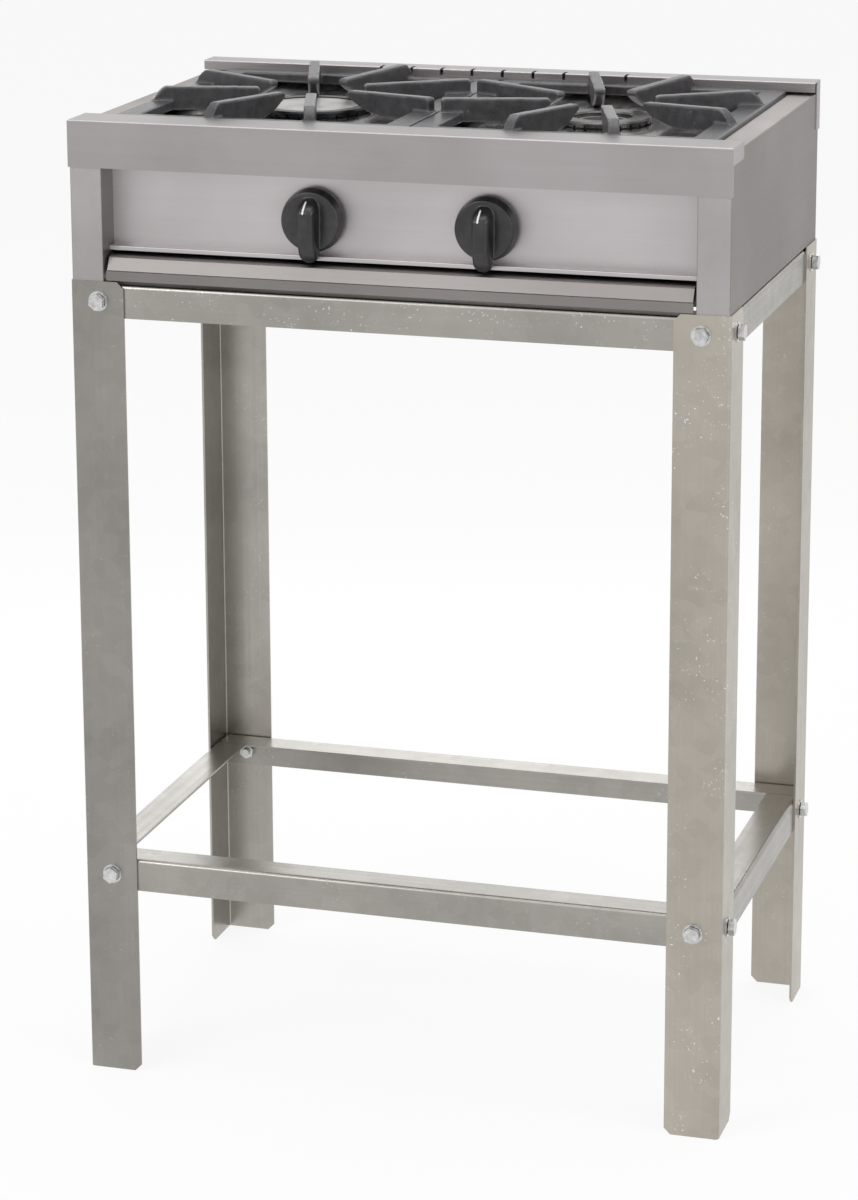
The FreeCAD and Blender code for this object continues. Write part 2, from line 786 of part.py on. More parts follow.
def add_mixing_tube(body, name, neck_offset, neck, bore):
    """The tube from the injector to the neck, with a flared mouth, and its bore."""
    mouth = "mix_tube_reach"
    pad(body, name + "_tube", draw(body, name + "_tube_outline", "XZ_Plane", [
        ("circle", "0", "-tube_drop", "mix_tube_radius")], level=neck_offset),
        f"{mouth} - {neck_offset}")
    pad(body, name + "_mouth", draw(body, name + "_mouth_outline", "XZ_Plane", [
        ("circle", "0", "-tube_drop", "mix_mouth_radius")], level=f"{mouth} - mix_mouth_length"),
        "mix_mouth_length")
    cut(body, name + "_bore", draw(body, name + "_bore_outline", "XZ_Plane", [
        ("circle", "0", "-tube_drop", bore)], level=mouth),
        f"{mouth} - {neck_offset}")
    cut(body, name + "_mouth_bore", draw(body, name + "_mouth_bore_outline", "XZ_Plane", [
        ("circle", "0", "-tube_drop", "mix_tube_radius")], level=mouth), "mix_mouth_length / 2")


large = burner_body("burner_body_left", "-grate_x")
neck_foot = "(-tube_drop - neck_radius)"
turned(large, "large_bowl", draw(large, "large_bowl_section", "XZ_Plane", [[
    ("0", neck_foot),
    ("neck_radius", neck_foot),
    ("neck_radius", "-bowl_depth - bowl_wall"),
    ("large_bowl_radius", "-bowl_depth"),
    ("large_bowl_radius", "0"),
    ("large_flange_radius", "0"),
    ("large_flange_radius", "flange_thick"),
    ("large_bowl_radius - bowl_wall", "flange_thick"),
    ("large_bowl_radius - bowl_wall", "-bowl_depth + bowl_wall"),
    ("mix_bore_radius", "-bowl_depth"),
    ("mix_bore_radius", "-tube_drop"),
    ("0", "-tube_drop"),
]]), "V_Axis")
add_mixing_tube(large, "large", "0", "neck_radius", "mix_bore_radius")

small = burner_body("burner_body_right", "grate_x")
channel_middle = "((small_channel_radius + small_bowl_radius) / 2)"
channel_half = "((small_bowl_radius - small_channel_radius) / 2)"
turned(small, "small_bowl", draw(small, "small_bowl_section", "XZ_Plane", [[
    ("small_channel_radius", "-bowl_depth"),
    ("small_bowl_radius", "-bowl_depth"),
    ("small_bowl_radius", "0"),
    ("small_flange_radius", "0"),
    ("small_flange_radius", "flange_thick"),
    ("small_bowl_radius - bowl_wall", "flange_thick"),
    ("small_bowl_radius - bowl_wall", "-bowl_depth + bowl_wall"),
    ("small_channel_radius + bowl_wall", "-bowl_depth + bowl_wall"),
    ("small_channel_radius + bowl_wall", "flange_thick"),
    ("small_channel_radius", "flange_thick"),
]]), "V_Axis")
pad(small, "small_neck", draw(small, "small_neck_outline", "XY_Plane", [
    ("circle", "0", f"-{channel_middle}", "mix_tube_radius")], level=neck_foot),
    f"-bowl_depth - {neck_foot}")
cut(small, "small_neck_bore", draw(small, "small_neck_bore_outline", "XY_Plane", [
    ("circle", "0", f"-{channel_middle}", f"{channel_half} - bowl_wall")], level="-bowl_depth + bowl_wall"),
    "tube_drop - bowl_depth + bowl_wall")
add_mixing_tube(small, "small", channel_middle, "mix_tube_radius", "mix_bore_radius")


def make_burner_cap(name, x, radius, flange, ports, section_inside):
    """A lift-off cap: its web lies on the burner's flange and its skirt hangs round it, cut with flame ports."""
    lid = burner_body(name, x)
    skirt_foot = "(flange_thick / 2)"
    crown = "(flange_thick + cap_height)"
    skirt_inner = f"({radius} - cap_skirt_thick)"
    turned(lid, name + "_casting", draw(lid, name + "_section", "XZ_Plane", [[
        (skirt_inner, skirt_foot),
        (radius, skirt_foot),
        (radius, f"{crown} - cap_bevel"),
        (f"{radius} - cap_bevel", crown),
        *section_inside(crown),
        (skirt_inner, "flange_thick"),
    ]]), "V_Axis")
    port = cut(lid, name + "_port", draw(lid, name + "_port_outline", "YZ_Plane", [
        rectangle("-port_width / 2", "port_width / 2",
                  f"{skirt_foot} - joint_gap", f"{skirt_foot} + port_height")],
        level=f"{flange} + joint_gap"), f"{radius} - {flange}", backwards=True)
    repeat_round(lid, name + "_ports", port, ports)


def large_inside(crown):
    disc_edge = "(large_disc_radius + disc_gap)"
    floor = "(flange_thick + cap_web)"
    return [(disc_edge, crown), (disc_edge, floor), ("0", floor), ("0", "flange_thick")]


def small_inside(crown):
    rim = "(small_channel_radius + bowl_wall)"
    floor = "(flange_thick + small_rim_lift)"
    return [("small_centre_radius + cap_bevel", crown), ("small_centre_radius", f"{crown} - cap_bevel"),
            ("small_centre_radius", floor), (rim, floor), (rim, "flange_thick")]


make_burner_cap("burner_cap_left", "-grate_x", "large_cap_radius", "large_flange_radius",
                LARGE_PORTS, large_inside)
make_burner_cap("burner_cap_right", "grate_x", "small_cap_radius", "small_flange_radius",
                SMALL_PORTS, small_inside)
disc = burner_body("burner_disc_left", "-grate_x")
pad(disc, "disc_plate", draw(disc, "disc_outline", "XY_Plane", [
    ("circle", "0", "0", "large_disc_radius")], level="flange_thick + cap_web"), "disc_thick")


# ---------------------------------------------------------------------------
# Cast grates: a flat frame with eight fins that point at the burner
# ---------------------------------------------------------------------------
def fin_outline(outer, rise):
    """Side view of one fin: x is the distance from the burner's axis, y the height above the frame's foot.

    outer is where the fin ends; a rising fin sweeps up from the frame to its peak, any other ends upright.
    """
    foot = f"({outer} - finger_foot_inset)"
    outline = [
        ("finger_tip_radius", "finger_tip_high - finger_bevel"),
        ("finger_tip_radius", "finger_tip_low", "finger_belly_radius", 1),
        (f"{outer} - finger_belly_inset", "0"),
        (foot, "0"),
    ]
    if rise:
        outline += [(foot, "frame_thick", "finger_rise_radius", 1),
                    (f"{outer} - finger_peak_inset", "finger_peak_high")]
    else:
        outline += [(foot, "finger_peak_high - finger_bevel"),
                    (f"{foot} - finger_bevel", "finger_peak_high")]
    outline.append(("finger_tip_radius + finger_bevel", "finger_tip_high"))
    return outline


def make_grate(name, x, outer_side):
    """outer_side is 1 or -1: the side of the grate that faces the hob's side, where the fins sweep up."""
    grate = casing_body(name, x, "burner_depth", "pan_floor + grate_lift")
    pad(grate, name + "_frame", draw(grate, name + "_frame_outline", "XY_Plane", [
        rectangle("-grate_half_width", "grate_half_width", "-grate_half_depth", "grate_half_depth"),
        rectangle("-(grate_half_width - frame_side)", "grate_half_width - frame_side",
                  "-(grate_half_depth - frame_end)", "grate_half_depth - frame_end"),
    ]), "frame_thick")
    dress(grate, name + "_frame_corners", "Fillet", "frame_corner", [
        (f"{a}grate_half_width", f"{b}grate_half_depth", "frame_thick / 2") for a in ("-", "") for b in ("-", "")
    ])
    side_reach = "(grate_half_width / cos(finger_side_angle))"
    end_reach = "(grate_half_depth / cos(finger_end_angle))"
    for number, (reach, lean, rise) in enumerate((
            (side_reach, "finger_side_angle", outer_side == 1),
            (side_reach, "-finger_side_angle", outer_side == 1),
            (side_reach, "180 - finger_side_angle", outer_side == -1),
            (side_reach, "180 + finger_side_angle", outer_side == -1),
            (end_reach, "90 - finger_end_angle", True),
            (end_reach, "90 + finger_end_angle", True),
            (end_reach, "270 - finger_end_angle", True),
            (end_reach, "270 + finger_end_angle", True))):
        fin = draw(grate, f"{name}_fin_{number}_outline", "XZ_Plane", [fin_outline(reach, rise)], lean=lean)
        pad(grate, f"{name}_fin_{number}", fin, "finger_thick", symmetric=True)
    feet = [
        rectangle(*(f"{a}(grate_half_width - {d})" for d in ("frame_corner", "grate_foot + frame_corner")),
                  *(f"{b}(grate_half_depth - {d})" for d in ("foot_inset", "grate_foot")))
        for a in ("-", "") for b in ("-", "")
    ]
    pad(grate, name + "_feet", draw(grate, name + "_feet_outline", "XY_Plane", feet),
        "grate_lift", backwards=True)


make_grate("grate_left", "-grate_x - grate_gap / 4", -1)
make_grate("grate_right", "grate_x + grate_gap / 4", 1)


# ---------------------------------------------------------------------------
# Gas train: inlet, feed pipe, manifold, valves, supply pipes and injectors
# ---------------------------------------------------------------------------
manifold = casing_body("gas_manifold")
half_tube = "manifold_size / 2"
pad(manifold, "manifold_tube", draw(manifold, "manifold_section", "YZ_Plane", [
    rectangle("manifold_front", "manifold_front + manifold_size", "manifold_bottom", "manifold_top"),
], level="-manifold_left_reach"), "manifold_left_reach + manifold_right_reach")
cut(manifold, "manifold_bore", draw(manifold, "manifold_bore_section", "YZ_Plane", [
    rectangle("manifold_front + manifold_wall", "manifold_front + manifold_size - manifold_wall",
              "manifold_bottom + manifold_wall", "manifold_top - manifold_wall"),
], level="manifold_right_reach - manifold_wall"),
    "manifold_left_reach + manifold_right_reach - 2 * manifold_wall")
cut(manifold, "manifold_inlet", draw(manifold, "manifold_inlet_outline", "XZ_Plane", [
    ("circle", "-inlet_offset", "feed_height", "feed_bore")], level="-manifold_front - manifold_size"),
    "manifold_wall", backwards=True)

for side, sign in (("left", "-"), ("right", "")):
    bracket = casing_body(f"manifold_bracket_{side}")
    pad(bracket, f"bracket_fold_{side}", draw(bracket, f"bracket_section_{side}", "YZ_Plane", [[
        ("panel_rear", "manifold_bottom - bracket_thick"),
        ("manifold_front + manifold_size", "manifold_bottom - bracket_thick"),
        ("manifold_front + manifold_size", "manifold_bottom"),
        ("panel_rear + bracket_thick", "manifold_bottom"),
        ("panel_rear + bracket_thick", "manifold_bottom + bracket_rise"),
        ("panel_rear", "manifold_bottom + bracket_rise"),
    ]], level=f"{sign}bracket_spacing / 2 - bracket_width / 2"), "bracket_width")


feed = casing_body("feed_pipe", "-inlet_offset", "manifold_front + manifold_size", "feed_height")
pad(feed, "feed_tube", draw(feed, "feed_section", "XZ_Plane", [
    ("circle", "0", "0", "feed_radius"), ("circle", "0", "0", "feed_bore")]),
    "back_panel_front - inlet_shank_length - manifold_front - manifold_size", backwards=True)

for side, sign in (("left", "-"), ("right", "")):
    supply = casing_body(f"supply_pipe_{side}", f"{sign}(knob_spacing / 2 + outlet_reach)", "outlet_y", "knob_height")
    pad(supply, f"supply_tube_{side}", draw(supply, f"supply_section_{side}", "YZ_Plane", [
        ("circle", "0", "0", "supply_radius"), ("circle", "0", "0", "supply_bore")]),
        "grate_x - elbow_width / 2 - knob_spacing / 2 - outlet_reach", backwards=bool(sign))

    elbow = casing_body(f"injector_elbow_{side}", f"{sign}grate_x", "outlet_y", "knob_height")
    elbow_half = "elbow_width / 2"
    pad(elbow, f"elbow_block_{side}", draw(elbow, f"elbow_outline_{side}", "XZ_Plane", [
        rectangle(f"-{elbow_half}", elbow_half, f"-{elbow_half}", elbow_half)], level=elbow_half),
        "elbow_width / 2 + injector_front - outlet_y", backwards=True)
    middle = "(injector_front - outlet_y - elbow_width / 2) / 2"
    dress(elbow, f"elbow_edges_{side}", "Chamfer", "elbow_bevel", [
        (f"{a}{elbow_half}", middle, f"{b}{elbow_half}") for a in ("-", "") for b in ("-", "")])
    cut(elbow, f"elbow_inlet_{side}", draw(elbow, f"elbow_inlet_outline_{side}", "YZ_Plane", [
        ("circle", "0", "0", "supply_bore")]), "elbow_width / 2", backwards=bool(sign))
    cut(elbow, f"elbow_outlet_{side}", draw(elbow, f"elbow_outlet_outline_{side}", "XZ_Plane", [
        ("circle", "0", "0", "supply_bore")]), "injector_front - outlet_y")

    injector = casing_body(f"injector_{side}", f"{sign}grate_x", "injector_front", "knob_height")
    pad(injector, f"injector_hexagon_{side}", draw(injector, f"injector_hexagon_outline_{side}", "XZ_Plane", [
        hexagon("2 * injector_radius")]), "injector_length - injector_nose", backwards=True)
    pad(injector, f"injector_nose_{side}", draw(injector, f"injector_nose_outline_{side}", "XZ_Plane", [
        ("circle", "0", "0", "injector_radius / 2")]), "injector_length", backwards=True)
    cut(injector, f"injector_jet_{side}", draw(injector, f"injector_jet_outline_{side}", "XZ_Plane", [
        ("circle", "0", "0", "jet_radius")]))

fitting = casing_body("inlet_fitting", "-inlet_offset", "back_panel_front", "feed_height")
pad(fitting, "inlet_shank", draw(fitting, "inlet_shank_outline", "XZ_Plane", [
    ("circle", "0", "0", "inlet_shank_radius")], level="-casing_thick"),
    "inlet_shank_length + casing_thick")
pad(fitting, "inlet_hexagon", draw(fitting, "inlet_hexagon_outline", "XZ_Plane", [
    hexagon("inlet_across_flats")], level="-casing_thick"), "inlet_hex_thick", backwards=True)
pad(fitting, "inlet_thread", draw(fitting, "inlet_thread_outline", "XZ_Plane", [
    ("circle", "0", "0", "inlet_thread_radius")], level="-casing_thick - inlet_hex_thick"),
    "inlet_thread_length", backwards=True)
cut(fitting, "inlet_bore", draw(fitting, "inlet_bore_outline", "XZ_Plane", [
    ("circle", "0", "0", "inlet_bore_radius")]))
locknut = casing_body("inlet_locknut", "-inlet_offset", "back_panel_front", "feed_height")
pad(locknut, "locknut_hexagon", draw(locknut, "locknut_outline", "XZ_Plane", [
    hexagon("locknut_across_flats"),
    ("circle", "0", "0", "inlet_shank_radius + thread_clearance")]), "locknut_thick")


def valve_body_at(name, sign):
    """A valve's zero is on the spindle's axis, on the front face of the valve; +Y runs into it."""
    return casing_body(name, f"{sign}knob_spacing / 2", "valve_face", "knob_height")


for side, sign in (("left", "-"), ("right", "")):
    valve = valve_body_at(f"valve_body_{side}", sign)
    pad(valve, f"valve_barrel_{side}", draw(valve, f"valve_barrel_outline_{side}", "XZ_Plane", [
        ("circle", "0", "0", "valve_radius")]), "valve_length", backwards=True)
    pad(valve, f"valve_foot_{side}", draw(valve, f"valve_foot_outline_{side}", "XY_Plane", [
        rectangle("-valve_foot_width / 2", "valve_foot_width / 2",
                  "manifold_front - valve_face", "manifold_front + manifold_size - valve_face")],
        level="manifold_top - knob_height"), "knob_height - manifold_top")
    pad(valve, f"valve_outlet_{side}", draw(valve, f"valve_outlet_outline_{side}", "YZ_Plane", [
        ("circle", "outlet_offset", "0", "outlet_radius")]), "outlet_reach", backwards=bool(sign))
    cut(valve, f"valve_bore_{side}", draw(valve, f"valve_bore_outline_{side}", "XZ_Plane", [
        ("circle", "0", "0", "plug_radius + running_gap")]), "plug_length + 2 * end_gap")

    bonnet = valve_body_at(f"valve_bonnet_{side}", sign)
    pad(bonnet, f"bonnet_plate_{side}", draw(bonnet, f"bonnet_outline_{side}", "XZ_Plane", [
        ("circle", "0", "0", "valve_radius"),
        ("circle", "0", "0", "stem_radius + running_gap")]), "bonnet_thick")

    plug = valve_body_at(f"valve_plug_{side}", sign)
    shoulder = "(end_gap + 2 * stem_push)"
    pad(plug, f"plug_barrel_{side}", draw(plug, f"plug_outline_{side}", "XZ_Plane", [
        ("circle", "0", "0", "plug_radius")], level="-end_gap"), "plug_length", backwards=True)
    cut(plug, f"plug_counterbore_{side}", draw(plug, f"plug_counterbore_outline_{side}", "XZ_Plane", [
        ("circle", "0", "0", "stem_radius + end_gap")], level="-end_gap"), "2 * stem_push + end_gap")
    tongue_slot = "(tongue_width / 2 + running_gap)"
    cut(plug, f"plug_slot_{side}", draw(plug, f"plug_slot_outline_{side}", "XZ_Plane", [
        rectangle(f"-{tongue_slot}", tongue_slot, f"-{tongue_slot}", tongue_slot)], level="-end_gap"),
        "stem_push + tongue_length + spring_length - end_gap")

    stem = valve_body_at(f"valve_stem_{side}", sign)
    stem_front = "(valve_face - knob_rear + stem_grip)"
    pad(stem, f"stem_shank_{side}", draw(stem, f"stem_outline_{side}", "XZ_Plane", [
        ("circle", "0", "0", "stem_radius")], level="-stem_push"), f"stem_push + {stem_front}")
    pad(stem, f"stem_tongue_{side}", draw(stem, f"stem_tongue_outline_{side}", "XZ_Plane", [
        rectangle("-tongue_width / 2", "tongue_width / 2", "-tongue_width / 2", "tongue_width / 2")],
        level="-stem_push"), "tongue_length", backwards=True)


for side, sign in (("left", "-"), ("right", "")):
    # The return spring, drawn as the sleeve that its turns fill.
    spring = valve_body_at(f"valve_spring_{side}", sign)
    outer = "(tongue_width / 2 - running_gap)"
    pad(spring, f"spring_sleeve_{side}", draw(spring, f"spring_section_{side}", "XZ_Plane", [
        ("circle", "0", "0", outer), ("circle", "0", "0", f"{outer} - spring_wire")],
        level="-(stem_push + tongue_length)"), "spring_length", backwards=True)


# ---------------------------------------------------------------------------
# Knobs: a hollow skirted disc with a grip bar, pushed on the stem
# ---------------------------------------------------------------------------
def make_knob(name, sign):
    """A knob's zero is on its axis at the back of its skirt; -Y points at the user."""
    knob = casing_body(name, f"{sign}knob_spacing / 2", "knob_rear", "knob_height")
    inner_rim = "(knob_radius - knob_wall)"
    inner_face = "(knob_face_radius - knob_wall)"
    turned(knob, name + "_disc", draw(knob, name + "_section", "YZ_Plane", [[
        ("-hub_setback", "0"),
        ("-hub_setback", "hub_radius"),
        ("-knob_depth + 2 * knob_wall", "hub_radius"),
        ("-knob_depth + 2 * knob_wall", inner_face),
        ("-knob_rim", inner_rim),
        ("0", inner_rim),
        ("0", "knob_radius"),
        ("-knob_rim", "knob_radius"),
        ("-knob_depth", "knob_face_radius"),
        ("-knob_depth + knob_dish", "grip_width / 2"),
        ("-knob_depth + knob_dish", "0"),
    ]]), "H_Axis")
    front = "(-knob_depth - grip_depth)"
    tail_front = "(ledge_depth - knob_gap + stem_push + joint_gap)"
    tail_rear = "-" + tail_front
    pad(knob, name + "_grip", draw(knob, name + "_grip_outline", "YZ_Plane", [[
        ("-knob_depth + knob_wall", "grip_top"),
        ("-knob_depth", "grip_top"),
        (front, "grip_top - grip_top_slope"),
        (front, "-knob_face_radius / 2", "grip_sweep", 1),
        ("-knob_depth - grip_tail_depth", "-grip_tail"),
        (tail_rear, "-grip_tail"),
        (tail_rear, "-(knob_face_radius - knob_wall)"),
        ("-knob_depth + knob_wall", "-(knob_face_radius - 2 * knob_wall)"),
    ]]), "grip_width", symmetric=True)
    cut(knob, name + "_bore", draw(knob, name + "_bore_outline", "XZ_Plane", [
        ("circle", "0", "0", "stem_radius + running_gap")]), "stem_grip", backwards=True)
    half = "(grip_width / 2)"
    dress(knob, name + "_grip_edges", "Fillet", "grip_round", [
        (f"{a}{half}", front, "(grip_top - grip_top_slope - knob_face_radius / 2) / 2") for a in ("-", "")
    ])
    for end, tip, inwards, side in (("top", "grip_top", "-", 1), ("tail", "-grip_tail", "+", -1)):
        outwards = "+" if inwards == "-" else "-"
        ends = [[
            (f"{a}{half}", f"{tip} {inwards} grip_end_round", "grip_end_round", side if a else -side),
            (f"{a}({half} - grip_end_round)", tip),
            (f"{a}({half} - grip_end_round)", f"{tip} {outwards} joint_gap"),
            (f"{a}({half} + joint_gap)", f"{tip} {outwards} joint_gap"),
            (f"{a}({half} + joint_gap)", f"{tip} {inwards} grip_end_round"),
        ] for a in ("-", "")]
        start = "knob_depth" if end == "top" else tail_front
        cut(knob, f"{name}_{end}_round", draw(knob, f"{name}_{end}_corners", "XZ_Plane", ends, level=start),
            "grip_depth + joint_gap", backwards=True)


make_knob("knob_left", "-")
make_knob("knob_right", "")


# ---------------------------------------------------------------------------
# Check every object, then write one STEP file for each node
# ---------------------------------------------------------------------------
doc.recompute()
for item in doc.Objects:
    if "Invalid" in item.State or "Error" in item.State:
        raise RuntimeError(f"{item.Label} failed: {item.State}")
for node in NODES:
    if node.Shape.isNull() or not node.Shape.isValid() or not node.Shape.Solids:
        raise RuntimeError(f"{node.Label} has no sound solid")

os.makedirs("parts", exist_ok=True)
for node in NODES:
    node.Shape.exportStep(f"parts/{node.Label}.step")
whole = Part.makeCompound([node.Shape for node in NODES]).BoundBox
print(f"{len(NODES)} nodes, {whole.XLength:.1f} x {whole.YLength:.1f} x {whole.ZLength:.1f} mm,",
      f"centre {whole.Center.x:.2f} {whole.Center.y:.2f}, lowest {whole.ZMin:.2f}")
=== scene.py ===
"""Looks of a two-burner stock pot range on a bolted stand. Metres, +Z up, -Y towards the user."""
import bpy
import bmesh
import math
from mathutils import Matrix, Vector


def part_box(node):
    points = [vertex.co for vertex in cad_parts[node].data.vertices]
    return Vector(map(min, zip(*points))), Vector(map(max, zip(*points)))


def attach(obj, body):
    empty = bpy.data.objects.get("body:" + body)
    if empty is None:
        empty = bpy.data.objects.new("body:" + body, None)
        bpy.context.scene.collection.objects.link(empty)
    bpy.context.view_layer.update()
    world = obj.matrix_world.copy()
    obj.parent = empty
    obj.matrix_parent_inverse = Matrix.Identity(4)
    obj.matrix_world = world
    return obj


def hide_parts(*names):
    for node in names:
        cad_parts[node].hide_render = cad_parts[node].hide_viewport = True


bl_info = {
    "name": "Stock pot range finish",
    "version": (1, 0, 0),
    "blender": (4, 5, 0),
    "location": "3D View > Sidebar > Range",
    "description": "Finishes, fasteners, castings and studio of a two-burner stock pot range",
    "category": "Object",
}

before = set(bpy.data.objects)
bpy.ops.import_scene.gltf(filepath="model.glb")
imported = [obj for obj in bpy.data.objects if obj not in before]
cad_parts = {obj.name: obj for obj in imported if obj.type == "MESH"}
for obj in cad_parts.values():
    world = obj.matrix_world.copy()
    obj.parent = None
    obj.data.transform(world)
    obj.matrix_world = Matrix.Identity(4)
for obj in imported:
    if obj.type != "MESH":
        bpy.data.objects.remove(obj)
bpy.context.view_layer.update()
MM = 0.001
SIDES = ("left", "right")
FIXED_BODY = "stand_and_casing"


# ---------------------------------------------------------------------------
# Colour and node helpers
# ---------------------------------------------------------------------------
def linear(code):
    """An sRGB hex code as linear red, green and blue."""
    channels = [int(code[place:place + 2], 16) / 255 for place in (0, 2, 4)]
    return tuple(c / 12.92 if c <= 0.04045 else ((c + 0.055) / 1.055) ** 2.4 for c in channels)


def add(tree, kind, inputs=None, **settings):
    """Adds one node with its settings; an input that is a socket becomes a link, anything else a value."""
    new = tree.nodes.new(kind)
    for name, value in settings.items():
        setattr(new, name, value)
    for key, value in (inputs or {}).items():
        if isinstance(value, bpy.types.NodeSocket):
            tree.links.new(value, new.inputs[key])
        else:
            new.inputs[key].default_value = value
    return new


def mix_colours(tree, factor, first, second):
    """The first colour where the factor is 0 and the second where it is 1."""
    mixed = add(tree, "ShaderNodeMix", {0: factor, 6: first, 7: second}, data_type="RGBA")
    return mixed.outputs[2]


def remap(tree, value, low, high, to_low, to_high):
    """A value taken from low..high to to_low..to_high and held there."""
    ranged = add(tree, "ShaderNodeMapRange", {0: value, 1: low, 2: high, 3: to_low, 4: to_high})
    return ranged.outputs[0]


def combine(tree, operation, first, second):
    """What one step of arithmetic gives for two values."""
    return add(tree, "ShaderNodeMath", {0: first, 1: second}, operation=operation).outputs[0]


def object_place(tree, scale=(1, 1, 1)):
    """Object coordinates, stretched by a scale on each axis."""
    place = add(tree, "ShaderNodeTexCoord").outputs["Object"]
    return add(tree, "ShaderNodeMapping", {"Vector": place, "Scale": scale}).outputs[0]


def noise(tree, place, size_mm, detail=3.0, rough=0.5):
    """Noise whose grains are about size_mm across."""
    made = add(tree, "ShaderNodeTexNoise",
               {"Vector": place, "Scale": 1 / (size_mm * MM), "Detail": detail, "Roughness": rough})
    return made.outputs["Fac"]


def grain(tree, place, along, across_mm, length_mm, detail=2.0):
    """Noise drawn out into lines along one axis, about across_mm apart and length_mm long."""
    scale = [1 / (across_mm * MM)] * 3
    scale[along] = 1 / (length_mm * MM)
    drawn = add(tree, "ShaderNodeMapping", {"Vector": place, "Scale": scale}).outputs[0]
    return noise(tree, drawn, 1 / MM, detail)


def moved_place(tree, offset):
    """Object coordinates, moved by an offset in metres."""
    place = add(tree, "ShaderNodeTexCoord").outputs["Object"]
    return add(tree, "ShaderNodeMapping", {"Vector": place, "Location": offset}).outputs[0]


def opaque(colour):
    return (*colour, 1.0)


def new_material(name):
    material = bpy.data.materials.new(name)
    material.use_nodes = True
    material.node_tree.nodes.clear()
    return material, material.node_tree


def surface(tree, **sockets):
    """Ends a material: its shader and its output."""
    names = {"colour": "Base Color", "metal": "Metallic", "rough": "Roughness", "bump": "Normal",
             "ior": "IOR", "stretch": "Anisotropic", "tangent": "Tangent"}
    shader = add(tree, "ShaderNodeBsdfPrincipled", {names[key]: value for key, value in sockets.items()})
    add(tree, "ShaderNodeOutputMaterial", {"Surface": shader.outputs[0]})


def bump(tree, height, depth_mm, strength):
    return add(tree, "ShaderNodeBump",
               {"Height": height, "Distance": depth_mm * MM, "Strength": strength}).outputs[0]


def dress_nodes(material, *names):
    """Gives CAD nodes their finish."""
    for name in names:
        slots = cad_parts[name].data.materials
        slots.clear()
        slots.append(material)


# ---------------------------------------------------------------------------
# Materials
# ---------------------------------------------------------------------------
def hot_dip_galvanised_steel(name, colours, along, wear, seed):
    """Galvanised sheet: faint zinc crystals about 14 mm across, dull bloom, rolling lines along the section,
    and scuffs and bright specks where wear is high."""
    material, tree = new_material(name)
    place = moved_place(tree, (seed, seed * 0.7, seed * 0.3))
    drift = add(tree, "ShaderNodeTexNoise", {"Vector": place, "Scale": 1 / (6.25 * MM)}).outputs["Color"]
    shifted = add(tree, "ShaderNodeVectorMath", {0: drift, 3: 5 * MM}, operation="SCALE").outputs[0]
    warped = add(tree, "ShaderNodeVectorMath", {0: place, 1: shifted}, operation="ADD").outputs[0]
    crystals = add(tree, "ShaderNodeTexVoronoi", {"Vector": warped, "Scale": 1 / (14 * MM)})
    tone = add(tree, "ShaderNodeSeparateColor", {0: crystals.outputs["Color"]})
    bloom = noise(tree, place, 120, 4.0)
    patches = remap(tree, noise(tree, place, 34, 3.0), 0.46, 0.62, 0.0, 1.0)
    lines = grain(tree, place, along, 2.5, 400)
    scuffs = remap(tree, noise(tree, warped, 5, 4.0, 0.75), 0.63, 0.69, 0.0, 1.0)
    specks = remap(tree, noise(tree, place, 2.4, 1.0), 0.69, 0.73, 0.0, 1.0)
    worn = combine(tree, "MULTIPLY", combine(tree, "MAXIMUM", scuffs, specks), patches)
    dark, base, light = (opaque(colour) for colour in colours)
    colour = mix_colours(tree, remap(tree, bloom, 0.3, 0.7, 0.2, 1.0), dark, base)
    colour = mix_colours(tree, remap(tree, tone.outputs[0], 0.0, 1.0, 0.0, 0.09), colour, light)
    colour = mix_colours(tree, remap(tree, lines, 0.3, 0.7, 0.0, 0.14), colour, dark)
    colour = mix_colours(tree, combine(tree, "MULTIPLY", worn, wear), colour, opaque(linear("F4F4F0")))
    rough = combine(tree, "ADD", remap(tree, tone.outputs[1], 0.0, 1.0, 0.30, 0.33),
                    remap(tree, lines, 0.3, 0.7, -0.03, 0.03))
    relief = combine(tree, "ADD", combine(tree, "MULTIPLY", tone.outputs[2], 0.15), lines)
    relief = combine(tree, "ADD", relief, combine(tree, "MULTIPLY", worn, wear))
    surface(tree, colour=colour, metal=1.0, rough=rough, bump=bump(tree, relief, 0.02, 0.3))
    return material


def bright_zinc_plating(name, colour):
    """Bright zinc on small steel parts: a light, slightly blue metal, clouded by handling."""
    material, tree = new_material(name)
    place = object_place(tree)
    cloud = noise(tree, place, 4, 4.0)
    fine = noise(tree, place, 0.5, 2.0)
    tint = mix_colours(tree, remap(tree, cloud, 0.3, 0.7, 0.0, 1.0), opaque(linear("B2B3B2")), opaque(colour))
    surface(tree, colour=tint, metal=1.0, rough=remap(tree, cloud, 0.3, 0.7, 0.20, 0.34),
            bump=bump(tree, fine, 0.02, 0.4))
    return material


